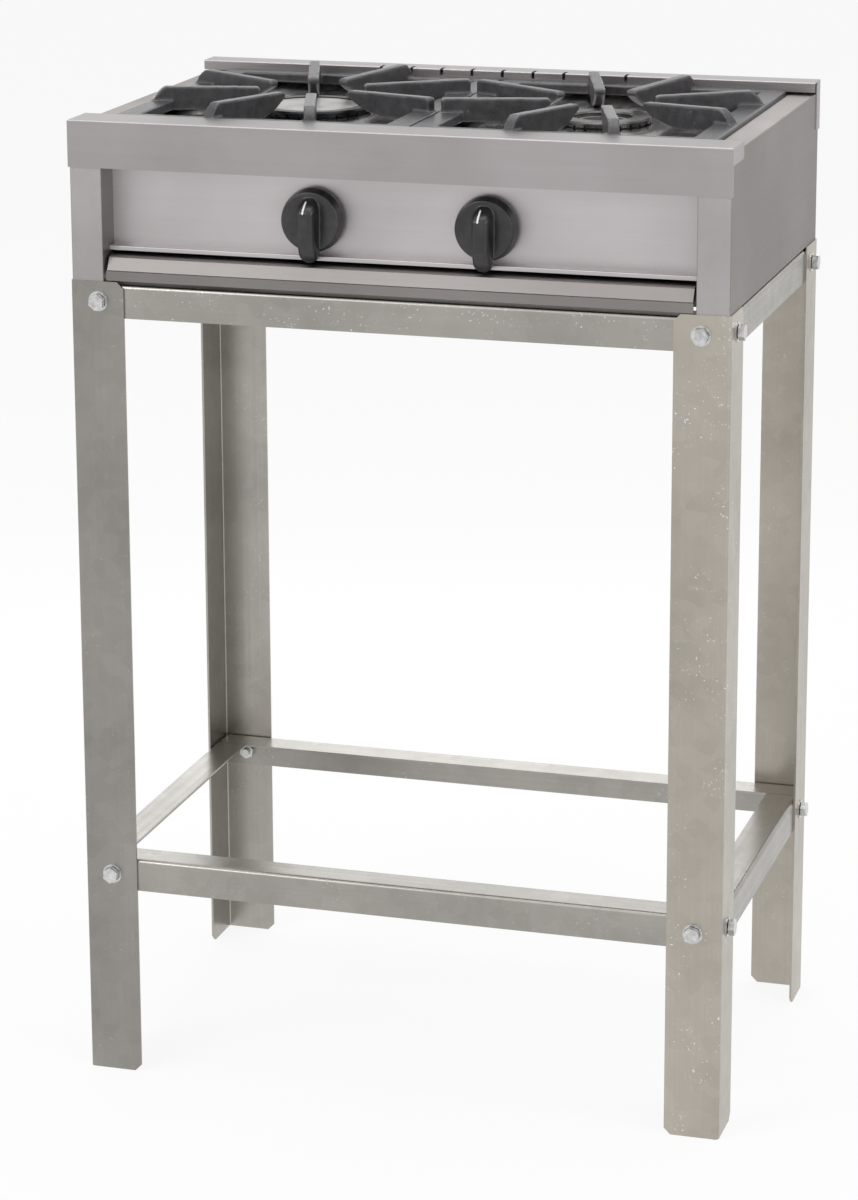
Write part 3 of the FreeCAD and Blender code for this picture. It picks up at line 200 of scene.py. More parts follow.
def brushed_stainless_steel(name, colours, along, rough, outer=None):
    """Satin stainless sheet, ground along one axis with a fine belt: the real lines are about 0.1 mm apart,
    drawn at 0.4 mm so that they show, with broad faint bands where the belt pressed harder. Faces that look
    sideways or up take the outer colours, where there are any: a painted shade."""
    material, tree = new_material(name)
    place = add(tree, "ShaderNodeTexCoord").outputs["Object"]
    lines = grain(tree, place, along, 0.4, 45)
    bands = grain(tree, place, along, 7, 900, 3.0)
    handling = noise(tree, place, 160, 3.0)
    low, high = (opaque(colour) for colour in colours)
    tone = combine(tree, "ADD", remap(tree, bands, 0.3, 0.7, -0.05, 0.05),
                   remap(tree, handling, 0.35, 0.65, 0.2, 0.8))
    tone = combine(tree, "ADD", tone, remap(tree, lines, 0.3, 0.7, -0.084, 0.084))
    gloss = combine(tree, "ADD", remap(tree, lines, 0.3, 0.7, rough - 0.03, rough + 0.04),
                    remap(tree, handling, 0.35, 0.65, -0.02, 0.03))
    direction = [0.0, 0.0, 0.0]
    direction[along] = 1.0
    colour = mix_colours(tree, tone, low, high)
    # faces that look sideways or up take the darker outer colours: painted shade
    if outer:
        normal = add(tree, "ShaderNodeTexCoord").outputs["Normal"]
        facing = add(tree, "ShaderNodeSeparateXYZ", {0: normal}).outputs
        sideways = add(tree, "ShaderNodeMath", {0: facing[0]}, operation="ABSOLUTE").outputs[0]
        outward = combine(tree, "MAXIMUM", sideways, facing[2])
        painted_shade_colour = mix_colours(tree, tone, *(opaque(shade) for shade in outer))
        colour = mix_colours(tree, remap(tree, outward, 0.4, 0.8, 0.0, 1.0), colour, painted_shade_colour)
    surface(tree, colour=colour, metal=1.0, rough=gloss, stretch=0.75,
            tangent=add(tree, "ShaderNodeCombineXYZ", dict(enumerate(direction))).outputs[0],
            bump=bump(tree, lines, 0.012, 0.175))
    return material


def mill_bright_stainless_steel(name, colour):
    """Bright annealed sheet: nearly a mirror, with faint ripples and thin heat tint."""
    material, tree = new_material(name)
    place = object_place(tree)
    ripple = noise(tree, place, 55, 2.0)
    smear = noise(tree, object_place(tree, (1.0, 0.25, 1.0)), 12, 3.0)
    tint = mix_colours(tree, remap(tree, ripple, 0.4, 0.7, 0.0, 0.6), opaque(colour),
                       opaque(linear("B9B3A8")))
    surface(tree, colour=tint, metal=1.0, rough=remap(tree, smear, 0.35, 0.7, 0.10, 0.22),
            bump=bump(tree, ripple, 0.35, 0.5))
    return material


def stoved_cast_iron(name, colours, rough, grit_mm=1.1):
    """Sand-cast iron under a thin stoved black: sand grit, a few larger pimples and worn, lighter edges."""
    material, tree = new_material(name)
    place = object_place(tree)
    grit = noise(tree, place, grit_mm, 3.0, 0.6)
    lumps = noise(tree, place, 9, 3.0)
    pimples = add(tree, "ShaderNodeTexVoronoi", {"Vector": place, "Scale": 1 / (16 * MM)}).outputs["Distance"]
    pimple = remap(tree, pimples, 0.05, 0.11, 1.0, 0.0)
    pointing = add(tree, "ShaderNodeNewGeometry").outputs["Pointiness"]
    worn = combine(tree, "MULTIPLY", remap(tree, pointing, 0.51, 0.58, 0.0, 1.0),
                   remap(tree, lumps, 0.35, 0.6, 0.3, 1.0))
    dark, light = (opaque(colour) for colour in colours)
    colour = mix_colours(tree, remap(tree, lumps, 0.3, 0.7, 0.0, 0.35), dark, light)
    colour = mix_colours(tree, combine(tree, "MULTIPLY", worn, 0.7), colour, light)
    relief = combine(tree, "ADD", grit, combine(tree, "ADD", lumps, combine(tree, "MULTIPLY", pimple, 2.5)))
    surface(tree, colour=colour, metal=0.0, ior=1.5,
            rough=combine(tree, "ADD", remap(tree, grit, 0.3, 0.7, rough - 0.05, rough + 0.08),
                          combine(tree, "MULTIPLY", worn, -0.08)),
            bump=bump(tree, relief, 0.22, 0.5))
    return material


def turned_burner_iron(name, colours, centre):
    """Machined cast iron: turning rings about the burner's axis, 0.6 mm apart, and darker pores."""
    material, tree = new_material(name)
    place = moved_place(tree, (-centre[0], -centre[1], 0.0))
    flat = add(tree, "ShaderNodeVectorMath", {0: place, 1: (1.0, 1.0, 0.0)}, operation="MULTIPLY").outputs[0]
    radius = add(tree, "ShaderNodeVectorMath", {0: flat}, operation="LENGTH").outputs["Value"]
    rings = combine(tree, "SINE", combine(tree, "MULTIPLY", radius, 2 * math.pi / (0.6 * MM)), 0.0)
    pores = noise(tree, place, 1.4, 3.0)
    soot = noise(tree, place, 22, 3.0)
    dark, light = (opaque(colour) for colour in colours)
    shade = combine(tree, "ADD", remap(tree, soot, 0.35, 0.65, 0.0, 0.7),
                    remap(tree, pores, 0.4, 0.7, -0.2, 0.2))
    surface(tree, colour=mix_colours(tree, shade, light, dark), metal=1.0,
            rough=remap(tree, pores, 0.3, 0.7, 0.26, 0.44),
            bump=bump(tree, combine(tree, "ADD", combine(tree, "MULTIPLY", rings, 0.3), pores), 0.05, 0.35))
    return material


def moulded_phenolic(name, colour, rough):
    """Black phenolic: compression moulded, satin, with a faint orange-peel and patches of dust."""
    material, tree = new_material(name)
    place = object_place(tree)
    peel = noise(tree, place, 0.8, 2.0)
    dust = noise(tree, place, 14, 4.0)
    tint = mix_colours(tree, remap(tree, dust, 0.45, 0.75, 0.0, 0.25), opaque(colour),
                       opaque(linear("5A5859")))
    surface(tree, colour=tint, metal=0.0, ior=1.55, rough=remap(tree, dust, 0.3, 0.7, rough, rough + 0.08),
            bump=bump(tree, peel, 0.03, 0.35))
    return material


def filled_pointer_paint(name):
    """White enamel wiped into the pointer's groove: slightly uneven and soft in gloss."""
    material, tree = new_material(name)
    place = object_place(tree)
    wipe = noise(tree, place, 1.2, 3.0)
    tint = mix_colours(tree, remap(tree, wipe, 0.35, 0.7, 0.0, 1.0), opaque(linear("F4F4F2")),
                       opaque(linear("DADAD8")))
    surface(tree, colour=tint, metal=0.0, ior=1.5, rough=0.4, bump=bump(tree, wipe, 0.05, 0.5))
    return material


def machined_brass(name):
    """Free-turning brass, pressed and machined, with brown handling tarnish."""
    material, tree = new_material(name)
    place = object_place(tree)
    tarnish = noise(tree, place, 6, 4.0)
    cut_lines = noise(tree, object_place(tree, (6.0, 1.0, 6.0)), 3, 2.0)
    tint = mix_colours(tree, remap(tree, tarnish, 0.4, 0.75, 0.0, 0.8), opaque(linear("D2B26A")),
                       opaque(linear("8E6F3A")))
    surface(tree, colour=tint, metal=1.0, rough=remap(tree, tarnish, 0.3, 0.7, 0.22, 0.42),
            bump=bump(tree, cut_lines, 0.03, 0.3))
    return material


def cold_drawn_steel_tube(name):
    """Drawn and lightly plated steel tube: grey, with draw lines and oil bloom."""
    material, tree = new_material(name)
    place = object_place(tree)
    bloom = noise(tree, place, 18, 4.0)
    draw_lines = noise(tree, object_place(tree, (0.06, 1.0, 1.0)), 1.5, 2.0)
    tint = mix_colours(tree, remap(tree, bloom, 0.35, 0.7, 0.0, 1.0), opaque(linear("8D8F90")),
                       opaque(linear("6C6D6E")))
    surface(tree, colour=tint, metal=1.0, rough=remap(tree, bloom, 0.3, 0.7, 0.32, 0.48),
            bump=bump(tree, draw_lines, 0.03, 0.3))
    return material


# ---------------------------------------------------------------------------
# Meshes
# ---------------------------------------------------------------------------
def new_object(name, mesh):
    made = bpy.data.objects.new(name, mesh)
    bpy.context.scene.collection.objects.link(made)
    return made


def settle(name, thing):
    """Bakes an object's modifiers into a plain mesh object and removes the first one."""
    bpy.context.view_layer.update()
    evaluated = thing.evaluated_get(bpy.context.evaluated_depsgraph_get())
    mesh = bpy.data.meshes.new_from_object(evaluated)
    bpy.data.objects.remove(thing)
    mesh.name = name
    return new_object(name, mesh)


def poured(name, shape):
    """An object made of a finished bmesh, which is freed."""
    mesh = bpy.data.meshes.new(name)
    shape.to_mesh(mesh)
    shape.free()
    return new_object(name, mesh)


def merged_copy(name, node_name):
    """A copy of a CAD node, its loose triangles merged."""
    shape = bmesh.new()
    shape.from_mesh(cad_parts[node_name].data)
    bmesh.ops.remove_doubles(shape, verts=shape.verts, dist=0.01 * MM)
    return poured(name, shape)


def bridge(shape, rings):
    """Joins rings of points, all of one length, into a closed skin with flat ends."""
    loops = [[shape.verts.new(point) for point in ring] for ring in rings]
    for first, second in zip(loops, loops[1:]):
        for place in range(len(first)):
            after = (place + 1) % len(first)
            shape.faces.new((first[place], first[after], second[after], second[place]))
    shape.faces.new(list(reversed(loops[0])))
    shape.faces.new(loops[-1])
    bmesh.ops.recalc_face_normals(shape, faces=shape.faces)


def rounded(name, blank, step, passes, material):
    """The blank with its edges rounded, by steps of one size and then smoothing, in one material."""
    remesh = blank.modifiers.new("steps", "REMESH")
    remesh.mode = "VOXEL"
    remesh.voxel_size = step
    remesh.use_smooth_shade = True
    blank.modifiers.new("smoothing", "SMOOTH").iterations = passes
    made = settle(name, blank)
    made.data.materials.append(material)
    return made


def middle(node_name):
    low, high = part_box(node_name)
    return (Vector(low) + Vector(high)) / 2


# ---------------------------------------------------------------------------
# Settings
# ---------------------------------------------------------------------------
def size_of(name, description, size_mm):
    return bpy.props.FloatProperty(name=name, description=description, default=size_mm * MM, unit="LENGTH")


def power_of(name, description, watts):
    return bpy.props.FloatProperty(name=name, description=description, default=watts, unit="POWER")


def angle_of(name, description, degrees):
    return bpy.props.FloatProperty(name=name, description=description, default=math.radians(degrees),
                                   subtype="ANGLE")


def number_of(name, description, value):
    return bpy.props.FloatProperty(name=name, description=description, default=value)


def colour_of(name, description, code):
    return bpy.props.FloatVectorProperty(name=name, description=description, default=linear(code),
                                         subtype="COLOR")


class StudioSettings(bpy.types.PropertyGroup):
    camera_place: bpy.props.FloatVectorProperty(
        name="Camera", description="Where the camera stands", size=3, subtype="TRANSLATION", unit="LENGTH",
        default=(0.9412, -3.20875, 1.386))
    camera_turn: angle_of("Turn", "Camera's turn to the left of the range's back", 16.798)
    camera_tilt: angle_of("Tilt", "Camera's tilt below the horizon", 13.758)
    camera_roll: angle_of("Roll", "Camera's roll about its own axis", -0.205)
    focal_share: number_of("Focal share", "Focal length as a share of the picture's long side", 3.0883)
    rise: number_of("Shift", "Vertical shift as a share of the picture's long side", -0.125)
    key_power: power_of("Key", "Power of the large light at the front left", 50.0)
    fill_power: power_of("Fill", "Power of the light at the right", 22.0)
    top_power: power_of("Top", "Power of the soft box over the range", 32.0)
    back_power: power_of("Back", "Power of the low light behind the range", 4.5)
    sky: number_of("Sky", "Strength of the even light from all round", 0.55)
    paper_glow: number_of("Backdrop", "How much of the floor shows as plain white to the camera", 0.88)
    paper: colour_of("Floor", "Colour of the floor", "F2F2F2")


class StandSettings(bpy.types.PropertyGroup):
    zinc_dark: colour_of("Dark zinc", "Bloomed zinc", "8F8C87")
    zinc_base: colour_of("Zinc", "Plain zinc", "A6A39D")
    zinc_light: colour_of("Light zinc", "Bright crystals", "CFCDC8")
    wear: number_of("Wear", "How strongly scuffs and specks show, up to 1", 0.8)


class FastenerSettings(bpy.types.PropertyGroup):
    thread: size_of("Thread", "Outside diameter of the thread", 8)
    pitch: size_of("Pitch", "Pitch of the thread", 1.25)
    flats: size_of("Flats", "Width of heads and nuts across their flats", 13)
    head: size_of("Head", "Height of the head", 5.3)
    nut: size_of("Nut", "Height of the nut", 6.5)
    washer: size_of("Washer", "Diameter of the washer", 18)
    washer_thickness: size_of("Washer thickness", "Thickness of the washer", 1.6)
    stack: size_of("Stack", "Sheets clamped between washer and nut", 4)
    tail: size_of("Tail", "Thread that shows past the nut", 3)
    edge: size_of("Edge", "From a leg's corner to the bolt", 26)
    plating: colour_of("Plating", "Bright zinc", "DADBDA")


class CasingSettings(bpy.types.PropertyGroup):
    sheet_low: colour_of("Sheet, low", "Brushed sheet where it is dull", "9C9898")
    sheet_high: colour_of("Sheet, high", "Brushed sheet where it is bright", "B6B1B2")
    # the control panel's colours are a lighter copy of the sheet's: painted light
    panel_lit_low: colour_of("Panel, low", "Control panel where it is dull", "B6B2B3")
    panel_lit_high: colour_of("Panel, high", "Control panel where it is bright", "D0CBCC")
    # the side sheets' and drip tray's colours are a darker copy of the sheet's: painted shade
    shaded_low: colour_of("Side, low", "Side sheets and tray where they are dull", "827E7C")
    shaded_high: colour_of("Side, high", "Side sheets and tray where they are bright", "9A9593")
    bright: colour_of("Pan", "Bright sheet of the burner pan", "D6D5D4")
    roughness: number_of("Roughness", "Roughness of the brushed sheet", 0.42)
    tray_lip: size_of("Tray lip", "Height of the drip tray's lip", 8.5)
    tray_slope: size_of("Tray slope", "Depth of the slope behind the lip", 7)


class CastingSettings(bpy.types.PropertyGroup):
    voxel: size_of("Casting step", "Size of the steps that round the castings' edges", 1.2)
    iron_dark: colour_of("Iron", "Stoved cast iron", "343335")
    iron_light: colour_of("Worn iron", "Worn high spots", "5E5C5F")
    roughness: number_of("Roughness", "Roughness of the stoved surface", 0.30)


class BurnerSettings(bpy.types.PropertyGroup):
    raw_dark: colour_of("Raw iron", "Burner bodies", "4A494A")
    raw_light: colour_of("Raw iron, worn", "Burner bodies' high spots", "7C7A78")
    left_dark: colour_of("Left cap, sooty", "Left cap where soot lies", "141415")
    left_light: colour_of("Left cap", "Left cap where it is clean", "2E2E30")
    right_dark: colour_of("Right cap, sooty", "Right cap where soot lies", "2A2A2B")
    right_light: colour_of("Right cap", "Right cap where it is clean", "5E5D5C")
    disc_dark: colour_of("Disc, sooty", "Pressed disc where soot lies", "8E8C8A")
    disc_light: colour_of("Disc", "Pressed disc where it is clean", "B4B2B0")


class KnobSettings(bpy.types.PropertyGroup):
    phenolic: colour_of("Phenolic", "Colour of the knobs", "191819")
    roughness: number_of("Roughness", "Roughness of the moulding", 0.27)
    step: size_of("Moulding step", "Size of the steps that round the mouldings' edges", 0.6)
    disc_radius: size_of("Disc radius", "Radius of the skirt", 28.5)
    disc_depth: size_of("Disc depth", "From the skirt's back to its face", 14)
    grip_width: size_of("Grip width", "Width of the grip", 17)
    grip_depth: size_of("Grip depth", "How far the grip stands out of the disc", 15)
    grip_foot: size_of("Tail depth", "How far the grip's tail stands out", 2)
    grip_top: size_of("Grip top", "Top of the grip above the axis", 21)
    grip_bend: size_of("Grip bend", "Height where the top end starts to slope", 9)
    grip_fall: size_of("Grip fall", "Height where the tail starts to fall back", -13)
    grip_tail: size_of("Grip tail", "End of the tail below the axis", -36.5)
    pointer_width: size_of("Pointer width", "Width of the white line", 2.0)
    pointer_aside: size_of("Pointer place", "From the grip's middle to the line, to the left", 1.4)
    pointer_gap: size_of("Pointer gap", "From the grip's top to the line", 2.4)


# ---------------------------------------------------------------------------
# Pieces
# ---------------------------------------------------------------------------
PLAIN = Vector((1.0, 1.0, 1.0))
WARM = Vector((1.0, 0.965, 0.915))
# each leg: a brightness that paints the light and shade falling on it (the front left darker, the other three
# lighter), a warmer tint on the right legs, and how worn it is
LEG_LIGHT_SHADE_AND_WEAR = (("leg_front_left", PLAIN * 0.84, 0.2), ("leg_front_right", WARM * 1.22, 1.0),
                ("leg_rear_left", PLAIN * 1.12, 0.3), ("leg_rear_right", WARM * 1.2, 0.3))
RAIL_WEAR = (("upper", 1.0), ("lower", 0.3))


class RANGE_OT_stand(bpy.types.Operator):
    """Gives the legs and rails their galvanised finish, with painted light and shade on each leg"""
    bl_idname = "range.stand"
    bl_label = "Galvanised stand"

    def execute(self, context):
        values = context.scene.range_stand
        colours = (values.zinc_dark, values.zinc_base, values.zinc_light)
        for number, (name, tone, wear) in enumerate(LEG_LIGHT_SHADE_AND_WEAR):
            # each leg's zinc colours scaled by its tone: painted light and shade
            zinc = [Vector(colour) * tone for colour in colours]
            dress_nodes(hot_dip_galvanised_steel(f"galvanised_{name}", zinc, 2, values.wear * wear,
                                                 number * 0.37), name)
        for level, wear in RAIL_WEAR:
            for along, ends in ((0, ("front", "rear")), (1, SIDES)):
                for number, end in enumerate(ends):
                    name = f"{level}_rail_{end}"
                    seed = 2.0 + along * 0.61 + number * 0.29 + wear
                    dress_nodes(hot_dip_galvanised_steel(f"galvanised_{name}", colours, along,
                                                         values.wear * wear, seed), name)
        return {"FINISHED"}


FASTENER_SIZES = ("Thread", "Pitch", "Flats", "Head", "Nut", "Washer", "Washer thickness", "Stack", "Tail")


def fastener_tree():
    """A node tree that sets one bolt, washer and nut on every point, along the point's normal."""
    tree = bpy.data.node_groups.new("hex_fasteners", "GeometryNodeTree")
    face = tree.interface
    face.new_socket("Seats", in_out="INPUT", socket_type="NodeSocketGeometry")
    for label in FASTENER_SIZES:
        face.new_socket(label, in_out="INPUT", socket_type="NodeSocketFloat")
    face.new_socket("Plating", in_out="INPUT", socket_type="NodeSocketMaterial")
    face.new_socket("Fasteners", in_out="OUTPUT", socket_type="NodeSocketGeometry")
    given = add(tree, "NodeGroupInput").outputs

    def math_of(operation, first, second=0.0):
        return combine(tree, operation, first, second)

    def shifted(shape, height):
        up = add(tree, "ShaderNodeCombineXYZ", {2: height}).outputs[0]
        return add(tree, "GeometryNodeTransform", {"Geometry": shape, "Translation": up}).outputs[0]

    def hexagon(height):
        """A hexagonal prism whose corners are turned off by a cone."""
        corner = math_of("DIVIDE", given["Flats"], 2 * math.cos(math.pi / 6))
        prism = add(tree, "GeometryNodeMeshCylinder",
                    {"Vertices": 6, "Radius": corner, "Depth": height}).outputs["Mesh"]
        wide = math_of("MULTIPLY", given["Flats"], 1.15)
        slope = math_of("MULTIPLY", height, 2.6)
        narrow = math_of("MULTIPLY", given["Flats"], 0.475)
        cone = add(tree, "GeometryNodeMeshCone", {
            "Vertices": 32, "Radius Top": narrow, "Radius Bottom": wide, "Depth": slope}).outputs["Mesh"]
        placed = shifted(cone, math_of("MULTIPLY", height, -0.5))
        made = add(tree, "GeometryNodeMeshBoolean", operation="INTERSECT")
        tree.links.new(prism, made.inputs["Mesh 2"])
        tree.links.new(placed, made.inputs["Mesh 2"])
        return made.outputs["Mesh"]

    half_washer = math_of("DIVIDE", given["Washer thickness"], 2.0)
    half_head = math_of("DIVIDE", given["Head"], 2.0)
    half_nut = math_of("DIVIDE", given["Nut"], 2.0)
    head = shifted(hexagon(given["Head"]), math_of("ADD", given["Washer thickness"], half_head))
    washer = add(tree, "GeometryNodeMeshCylinder", {
        "Vertices": 40, "Radius": math_of("DIVIDE", given["Washer"], 2.0),
        "Depth": given["Washer thickness"]}).outputs["Mesh"]
    under = math_of("MULTIPLY", given["Stack"], -1.0)
    nut = add(tree, "GeometryNodeTransform", {
        "Geometry": hexagon(given["Nut"]), "Rotation": (math.pi, 0.0, 0.3)}).outputs[0]
    nut = shifted(nut, math_of("SUBTRACT", under, half_nut))
    length = math_of("ADD", math_of("ADD", given["Nut"], given["Tail"]), given["Stack"])
    core = add(tree, "GeometryNodeMeshCylinder", {
        "Vertices": 20, "Radius": math_of("MULTIPLY", given["Thread"], 0.435),
        "Depth": length}).outputs["Mesh"]
    core = shifted(core, math_of("MULTIPLY", length, -0.5))
    turns = math_of("DIVIDE", given["Tail"], given["Pitch"])
    flank = math_of("MULTIPLY", given["Thread"], 0.44)
    helix = add(tree, "GeometryNodeCurveSpiral", {
        "Resolution": 20, "Rotations": turns, "Height": math_of("MULTIPLY", given["Tail"], 0.86),
        "Start Radius": flank, "End Radius": flank}).outputs[0]
    tooth = add(tree, "GeometryNodeCurvePrimitiveCircle", {
        "Resolution": 4, "Radius": math_of("MULTIPLY", given["Pitch"], 0.38)}).outputs["Curve"]
    thread = add(tree, "GeometryNodeCurveToMesh", {
        "Curve": helix, "Profile Curve": tooth, "Fill Caps": True}).outputs[0]
    thread = shifted(thread, math_of("MULTIPLY", length, -1.0))
    one = add(tree, "GeometryNodeJoinGeometry")
    for shape in (thread, core, nut, washer, head):
        tree.links.new(shape, one.inputs[0])
    normal = add(tree, "GeometryNodeInputNormal").outputs["Normal"]
    kept = tree.nodes.new("GeometryNodeCaptureAttribute")
    kept.domain = "FACE"
    kept.capture_items.new("VECTOR", "Outward")
    tree.links.new(given["Seats"], kept.inputs[0])
    tree.links.new(normal, kept.inputs[1])
    points = add(tree, "GeometryNodeMeshToPoints", {0: kept.outputs[0]}, mode="FACES").outputs[0]
    turn = add(tree, "FunctionNodeAlignRotationToVector", {"Vector": kept.outputs[1]}, axis="Z").outputs[0]
    twist = add(tree, "FunctionNodeRandomValue", {2: 0.0, 3: math.tau, "Seed": 7},
                data_type="FLOAT").outputs[1]
    spin = add(tree, "FunctionNodeAxisAngleToRotation", {"Axis": (0.0, 0.0, 1.0), "Angle": twist}).outputs[0]
    turned = add(tree, "FunctionNodeRotateRotation", {"Rotation": turn, "Rotate By": spin},
                 rotation_space="LOCAL").outputs[0]
    placed = add(tree, "GeometryNodeInstanceOnPoints", {
        "Points": points, "Instance": one.outputs[0], "Rotation": turned}).outputs[0]
    real = add(tree, "GeometryNodeRealizeInstances", {0: placed}).outputs[0]
    plated = add(tree, "GeometryNodeSetMaterial", {"Geometry": real, "Material": given["Plating"]}).outputs[0]
    add(tree, "NodeGroupOutput", {0: plated})
    return tree


def bolt_seats(edge, radius):
    """Places on the legs' outer faces, one for every bolt, each with the direction that it faces."""
    low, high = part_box("stand_washers")
    seats = []
    for name in (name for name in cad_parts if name.startswith("leg_")):
        near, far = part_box(name)
        corner = [max(near[axis], far[axis], key=abs) for axis in (0, 1)]
        side = [math.copysign(1, corner[axis]) for axis in (0, 1)]
        for z in (low[2] + radius, high[2] - radius):
            seats.append((Vector((corner[0] - side[0] * edge, corner[1], z)), Vector((0, side[1], 0))))
            seats.append((Vector((corner[0], corner[1] - side[1] * edge, z)), Vector((side[0], 0, 0))))
    return seats


class RANGE_OT_fasteners(bpy.types.Operator):
    """Makes the bolts, washers and nuts of the stand"""
    bl_idname = "range.fasteners"
    bl_label = "Stand fasteners"

    def execute(self, context):
        values = context.scene.range_fasteners
        seats = bolt_seats(values.edge, values.washer / 2)
        shape = bmesh.new()
        flake = 0.01 * MM  # each seat is a triangle this small, and its normal turns the bolt
        for place, outward in seats:
            side = outward.cross(Vector((0, 0, 1)))
            corners = [place + side * flake, place - side * flake * 0.5 + Vector((0, 0, flake)),
                       place - side * flake * 0.5 - Vector((0, 0, flake))]
            made = shape.faces.new([shape.verts.new(corner) for corner in corners])
            made.normal_update()
            if made.normal.dot(outward) < 0:
                made.normal_flip()
        carrier = poured("seats", shape)
        tree = fastener_tree()
        modifier = carrier.modifiers.new("fasteners", "NODES")
        modifier.node_group = tree
        material = bright_zinc_plating("bright_zinc_plated_steel", values.plating)
        given = {label: getattr(values, label.lower().replace(" ", "_")) for label in FASTENER_SIZES}
        given["Plating"] = material
        for item in tree.interface.items_tree:
            if item.in_out == "INPUT" and item.name in given:
                modifier[item.identifier] = given[item.name]
        made = settle("stand_fasteners", carrier)
        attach(made, FIXED_BODY)
        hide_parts("stand_bolts", "stand_washers", "stand_nuts")
        return {"FINISHED"}


class RANGE_OT_casing(bpy.types.Operator):
    """Gives the casing, drip tray and burner pan their stainless finish, with painted light on the control
    panel and painted shade on the drip tray and the side sheets
    """
    bl_idname = "range.casing"
    bl_label = "Stainless casing"

    def execute(self, context):
        values = context.scene.range_casing
        colours = (values.sheet_low, values.sheet_high)
        long_grain = brushed_stainless_steel("satin_stainless_sheet", colours, 0, values.roughness)
        dress_nodes(long_grain, "front_band", "back_rail", "back_panel")
        # the control panel in a lighter copy of the brushed sheet: painted light
        lit_panel_colours = (values.panel_lit_low, values.panel_lit_high)
        dress_nodes(brushed_stainless_steel("satin_stainless_panel", lit_panel_colours, 0, values.roughness),
                    "control_panel")
        # the drip tray in a darker copy of the brushed sheet: painted shade under the ledge
        shaded_colours = (values.shaded_low, values.shaded_high)
        shaded_tray_grain = brushed_stainless_steel("satin_stainless_tray", shaded_colours, 0, values.roughness)
        dress_nodes(shaded_tray_grain, "drip_tray")
        # the side panels: their sideways and upward faces take the darker colours, a painted shade
        side_grain_shaded = brushed_stainless_steel("satin_stainless_sides", colours, 1, values.roughness,
                                             shaded_colours)
        dress_nodes(side_grain_shaded, "side_panel_left", "side_panel_right")
        dress_nodes(mill_bright_stainless_steel("bright_annealed_sheet", values.bright), "burner_pan")
        front = self.tray_front(values)
        # the tray's front skin takes the same painted shade
        front.data.materials.append(shaded_tray_grain)
        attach(front, "drip_tray")
        return {"FINISHED"}

    def tray_front(self, values):
        """A thin skin over the drip tray's front: up the lip, over its fold and up the slope behind it."""
        low, high = (Vector(corner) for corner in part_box("drip_tray"))
        edge, lip = low.y - 0.05 * MM, low.z + values.tray_lip
        slope = edge + values.tray_slope
        line = [(edge, lip - 6 * MM), (edge, lip - 0.8 * MM), (edge + 0.8 * MM, lip + 0.2 * MM),
                (slope, high.z - 3.4 * MM), (slope + 1.2 * MM, high.z - 2.4 * MM),
                (slope + 9 * MM, high.z - 0.4 * MM)]
        thick, end_gap = 0.3 * MM, 0.6 * MM
        rings = []
        for x in (low.x + end_gap, high.x - end_gap):
            outer = [Vector((x, y, z)) for y, z in line]
            inner = [Vector((x, y + thick, z - thick)) for y, z in reversed(line)]
            rings.append(outer + inner)
        shape = bmesh.new()
        bridge(shape, rings)
        return poured("drip_tray_front", shape)


class RANGE_OT_grates(bpy.types.Operator):
    """Casts the grates, with rounded edges and sand texture"""
    bl_idname = "range.grates"
    bl_label = "Cast grates"

    def execute(self, context):
        values = context.scene.range_castings
        material = stoved_cast_iron("stoved_sand_cast_iron", (values.iron_dark, values.iron_light),
                                    values.roughness)
        for side in SIDES:
            name = f"grate_{side}"
            made = rounded(f"{name}_casting", merged_copy(f"{name}_blank", name), values.voxel, 2, material)
            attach(made, name)
            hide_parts(name)
        return {"FINISHED"}


class RANGE_OT_burners(bpy.types.Operator):
    """Gives the burners their cast and machined finishes"""
    bl_idname = "range.burners"
    bl_label = "Burners"

    def execute(self, context):
        values = context.scene.range_burners
        raw = stoved_cast_iron("raw_cast_iron", (values.raw_dark, values.raw_light), 0.5, 0.9)
        dress_nodes(raw, "burner_body_left", "burner_body_right")
        for side in SIDES:
            cap = f"burner_cap_{side}"
            tones = (getattr(values, f"{side}_dark"), getattr(values, f"{side}_light"))
            dress_nodes(turned_burner_iron(f"machined_iron_{side}", tones, middle(cap)), cap)
        disc = turned_burner_iron("pressed_steel_disc", (values.disc_dark, values.disc_light),
                                  middle("burner_disc_left"))
        dress_nodes(disc, "burner_disc_left")
        return {"FINISHED"}


class RANGE_OT_gas_train(bpy.types.Operator):
    """Gives the taps, pipes and injectors under the hob their finishes"""
    bl_idname = "range.gas_train"
    bl_label = "Gas train"

    def execute(self, context):
        brass = machined_brass("machined_brass")
        tube = cold_drawn_steel_tube("drawn_steel_tube")
        spring = bright_zinc_plating("spring_wire", linear("A9AAAB"))
        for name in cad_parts:
            if name.startswith("valve_spring"):
                dress_nodes(spring, name)
            elif name.startswith(("valve_", "injector_", "inlet_")):
                dress_nodes(brass, name)
            elif name.startswith(("gas_manifold", "feed_pipe", "supply_pipe", "manifold_bracket")):
                dress_nodes(tube, name)
        return {"FINISHED"}


# how square the grip's bar is, from 0 for a box to 1 for a round one, and the rounding that its ends and its
# skin leave for the smoothing
GRIP_SQUARENESS = 0.55
GRIP_END = 0.3 * MM
GRIP_SKIN = 0.2 * MM


